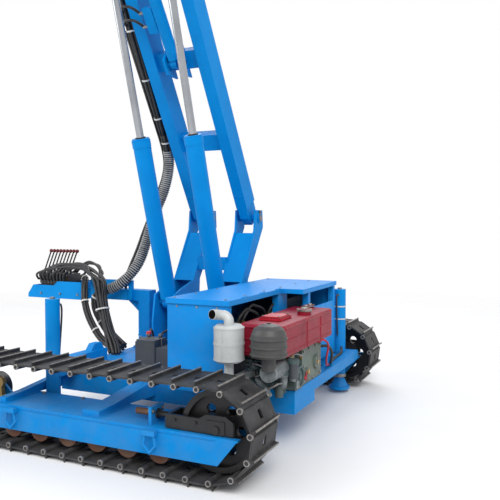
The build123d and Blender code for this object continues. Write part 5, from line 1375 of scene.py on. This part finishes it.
class RIG_OT_platform(bpy.types.Operator):
    """Pins, bolts, welds and ports of the platform, its head, the feed and the drill"""
    bl_idname = "rig.platform"
    bl_label = "Platform"

    def execute(self, context):
        boom = context.scene.rig_boom
        top = on_boom(0, boom.length, 0) - middle()
        hinge = top + Vector((FEED_X, FEED_Y, DECK_RISE + FEED_Z))
        self.head(top.x, top.y, top.z, boom.spread)
        self.deck(top.x, top.y, top.z + DECK_RISE)
        self.feed(*hinge)
        self.drill(hinge.x, hinge.y - DRILL_BACK, hinge.z + DRILL_RISE)
        return {"FINISHED"}

    def head(self, x, y, z, spread):
        """Pins and bolts between the boom's top and the platform."""
        pins, bolts = meshes(2)
        for beam in (x - spread, x + spread):
            for cheek in (-1, 1):
                add_disc(pins, at(beam + cheek * 0.077, y, z), cheek * X, 0.02, 0.004)
                add_bolt(bolts, at(beam + cheek * 0.061, y, z + 0.042), cheek * X, 0.007)
        add_bolts(bolts, Z, 0.009, [(x + reach, y + way, z + DECK_RISE - 0.03)
                                    for reach in (-0.27, -0.12, 0.12, 0.27)
                                    for way in (-0.08, 0.12)])
        new_pieces("head", head_pins=(pins, "drill_steel"), head_bolts=(bolts, "bolt_steel"))

    def deck(self, x, y, z):
        """Bolts along the slats' ends, weld beads at the rails' feet and the feed's lugs."""
        bolts, welds, pins = meshes(3)
        rim = at(x, y, 0)
        rim.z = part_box("platform_deck")[0].z
        add_bolt_ring(bolts, rim, -Z, 0.24, 16, 0.009)
        add_bolts(bolts, Z, 0.008, [(x + out, y + SLAT_Y + index * SLAT_PITCH, z + SLAT_TOP)
                                    for out in (*SLAT_XS, RAIL_X) for index in range(9)])
        for post in (x - RAIL_X, x + RAIL_X):
            for way in RAIL_YS:
                for a, b in zip(SQUARE, SQUARE[1:] + SQUARE[:1]):
                    add_weld(welds, *(at(post + 0.021 * u, y + way + 0.021 * v, z + POST_FOOT)
                                      for u, v in (a, b)), 0.004)
                if way > -0.5:
                    for face in (-1, 1):
                        weld_from(welds, post - 0.018, y + way + face * 0.0205, z + MIDDLE_RAIL,
                                  (0.036, 0, 0), 0.003)
        for face in (-1, 1):
            lug = x + FEED_X + face * LUG_FACE
            add_disc(pins, at(lug + face * 0.012, y + FEED_Y, z + FEED_Z), face * X, 0.019, 0.005)
            add_bolt(bolts, at(lug, y + LUG_BOLT[0], z + LUG_BOLT[1]), face * X, 0.007)
            start, foot, length = LUG_WELD
            weld_from(welds, lug, y + start, z + foot, (0, length, 0), 0.004)
        new_pieces("platform", deck_bolts=(bolts, "bolt_steel"), deck_welds=(welds, "blue_paint"),
                   deck_pins=(pins, "drill_steel"))

    def feed(self, x, y, z):
        """Bolts and wear strips of the feed beam, from its hinge."""
        bolts, strips = meshes(2)
        for index in range(FEED_BOLTS):
            way = y + FEED_START + index * FEED_PITCH
            if abs(way - y) >= 0.06:
                for face in (-1, 1):
                    add_bolt(bolts, at(x + face * FEED_HALF, way, z + 0.032), face * X, 0.0075)
        for out in (x - END_BOLT_X, x + END_BOLT_X):
            add_bolts(bolts, -Y, 0.007, [(out, y + way, z + rise) for way, rise in END_BOLTS])
        for face in (-1, 1):
            add_bolts(bolts, Z, 0.0055, [(x + face * CLAMP_BOLT_X, y + way, z + CLAMP_BOLT_Z)
                                         for way in CLAMP_BOLTS])
            strip = x + face * (FEED_HALF + 0.0005)
            low, high = ((y + way, z + rise) for way, rise in zip(WEAR_ENDS, WEAR_EDGES))
            add_box(strips, (strip - 0.0006, *low), (strip + 0.0006, *high))
        new_pieces("feed", feed_bolts=(bolts, "bolt_steel"), feed_wear=(strips, "worn_steel"))

    def drill(self, x, way, low):
        """Bolts and ports of the drill head, and the chuck's screws."""
        bolts, ports, jaws = meshes(3)
        axis = low + SPINDLE_RISE
        for face in (-1, 1):
            add_bolts(bolts, Z, 0.009, [(x + face * 0.098, way + y, low + 0.0263)
                                        for y in (-0.15, 0.15)])
            add_bolts(bolts, face * X, 0.008, [(x + face * 0.09, way + y, low + z)
                                               for y in (-0.09, 0, 0.09) for z in (0.055, 0.17)])
            add_discs(ports, (x + face * 0.028, way - 0.2, low + 0.186, Z, 0.016, 0.02, 6),
                      (x + face * 0.028, way - 0.2, low + 0.2, Z, 0.012, 0.014, 12))
        add_bolt_ring(bolts, at(x, way + 0.12, axis), Y, 0.062, 8, 0.006)
        add_bolt_ring(bolts, at(x, way - 0.26, axis), -Y, 0.048, 6, 0.006)
        add_disc(ports, at(x, way - 0.264, axis), -Y, 0.02, 0.008)
        new_pieces("drill", drill_bolts=(bolts, "bolt_steel"), drill_ports=(ports, "drill_steel"))
        for u, w in circle_of(1, 6):
            out = Vector((u, 0, w))
            add_disc(jaws, at(x, way + 0.19, axis) + out * 0.0665, out, 0.008, 0.004, 6)
        new_piece("chuck_screws", jaws, "bolt_steel", body="chuck")


PIECES = (RIG_OT_stage, RIG_OT_paint, RIG_OT_hoses, RIG_OT_tracks, RIG_OT_chassis,
          RIG_OT_boom, RIG_OT_cabinet, RIG_OT_engine, RIG_OT_console, RIG_OT_jacks, RIG_OT_platform)


class RIG_PT_panel(bpy.types.Panel):
    """Buttons for the stage and each group of pieces"""
    bl_label = "Anchor drilling rig"
    bl_idname = "RIG_PT_panel"
    bl_space_type = "VIEW_3D"
    bl_region_type = "UI"
    bl_category = "Rig"

    def draw(self, context):
        for operator in PIECES:
            self.layout.operator(operator.bl_idname)


def register():
    for kind in (*SETTINGS.values(), *PIECES, RIG_PT_panel):
        bpy.utils.register_class(kind)
    for name, kind in SETTINGS.items():
        setattr(bpy.types.Scene, name, PointerProperty(type=kind))


def unregister():
    for name in SETTINGS:
        delattr(bpy.types.Scene, name)
    for kind in reversed((*SETTINGS.values(), *PIECES, RIG_PT_panel)):
        bpy.utils.unregister_class(kind)


def main():
    register()
    random.seed(SEED)
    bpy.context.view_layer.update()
    for operator in PIECES:
        group, name = operator.bl_idname.split(".")
        getattr(getattr(bpy.ops, group), name)()


if __name__ == "__main__":
    main()
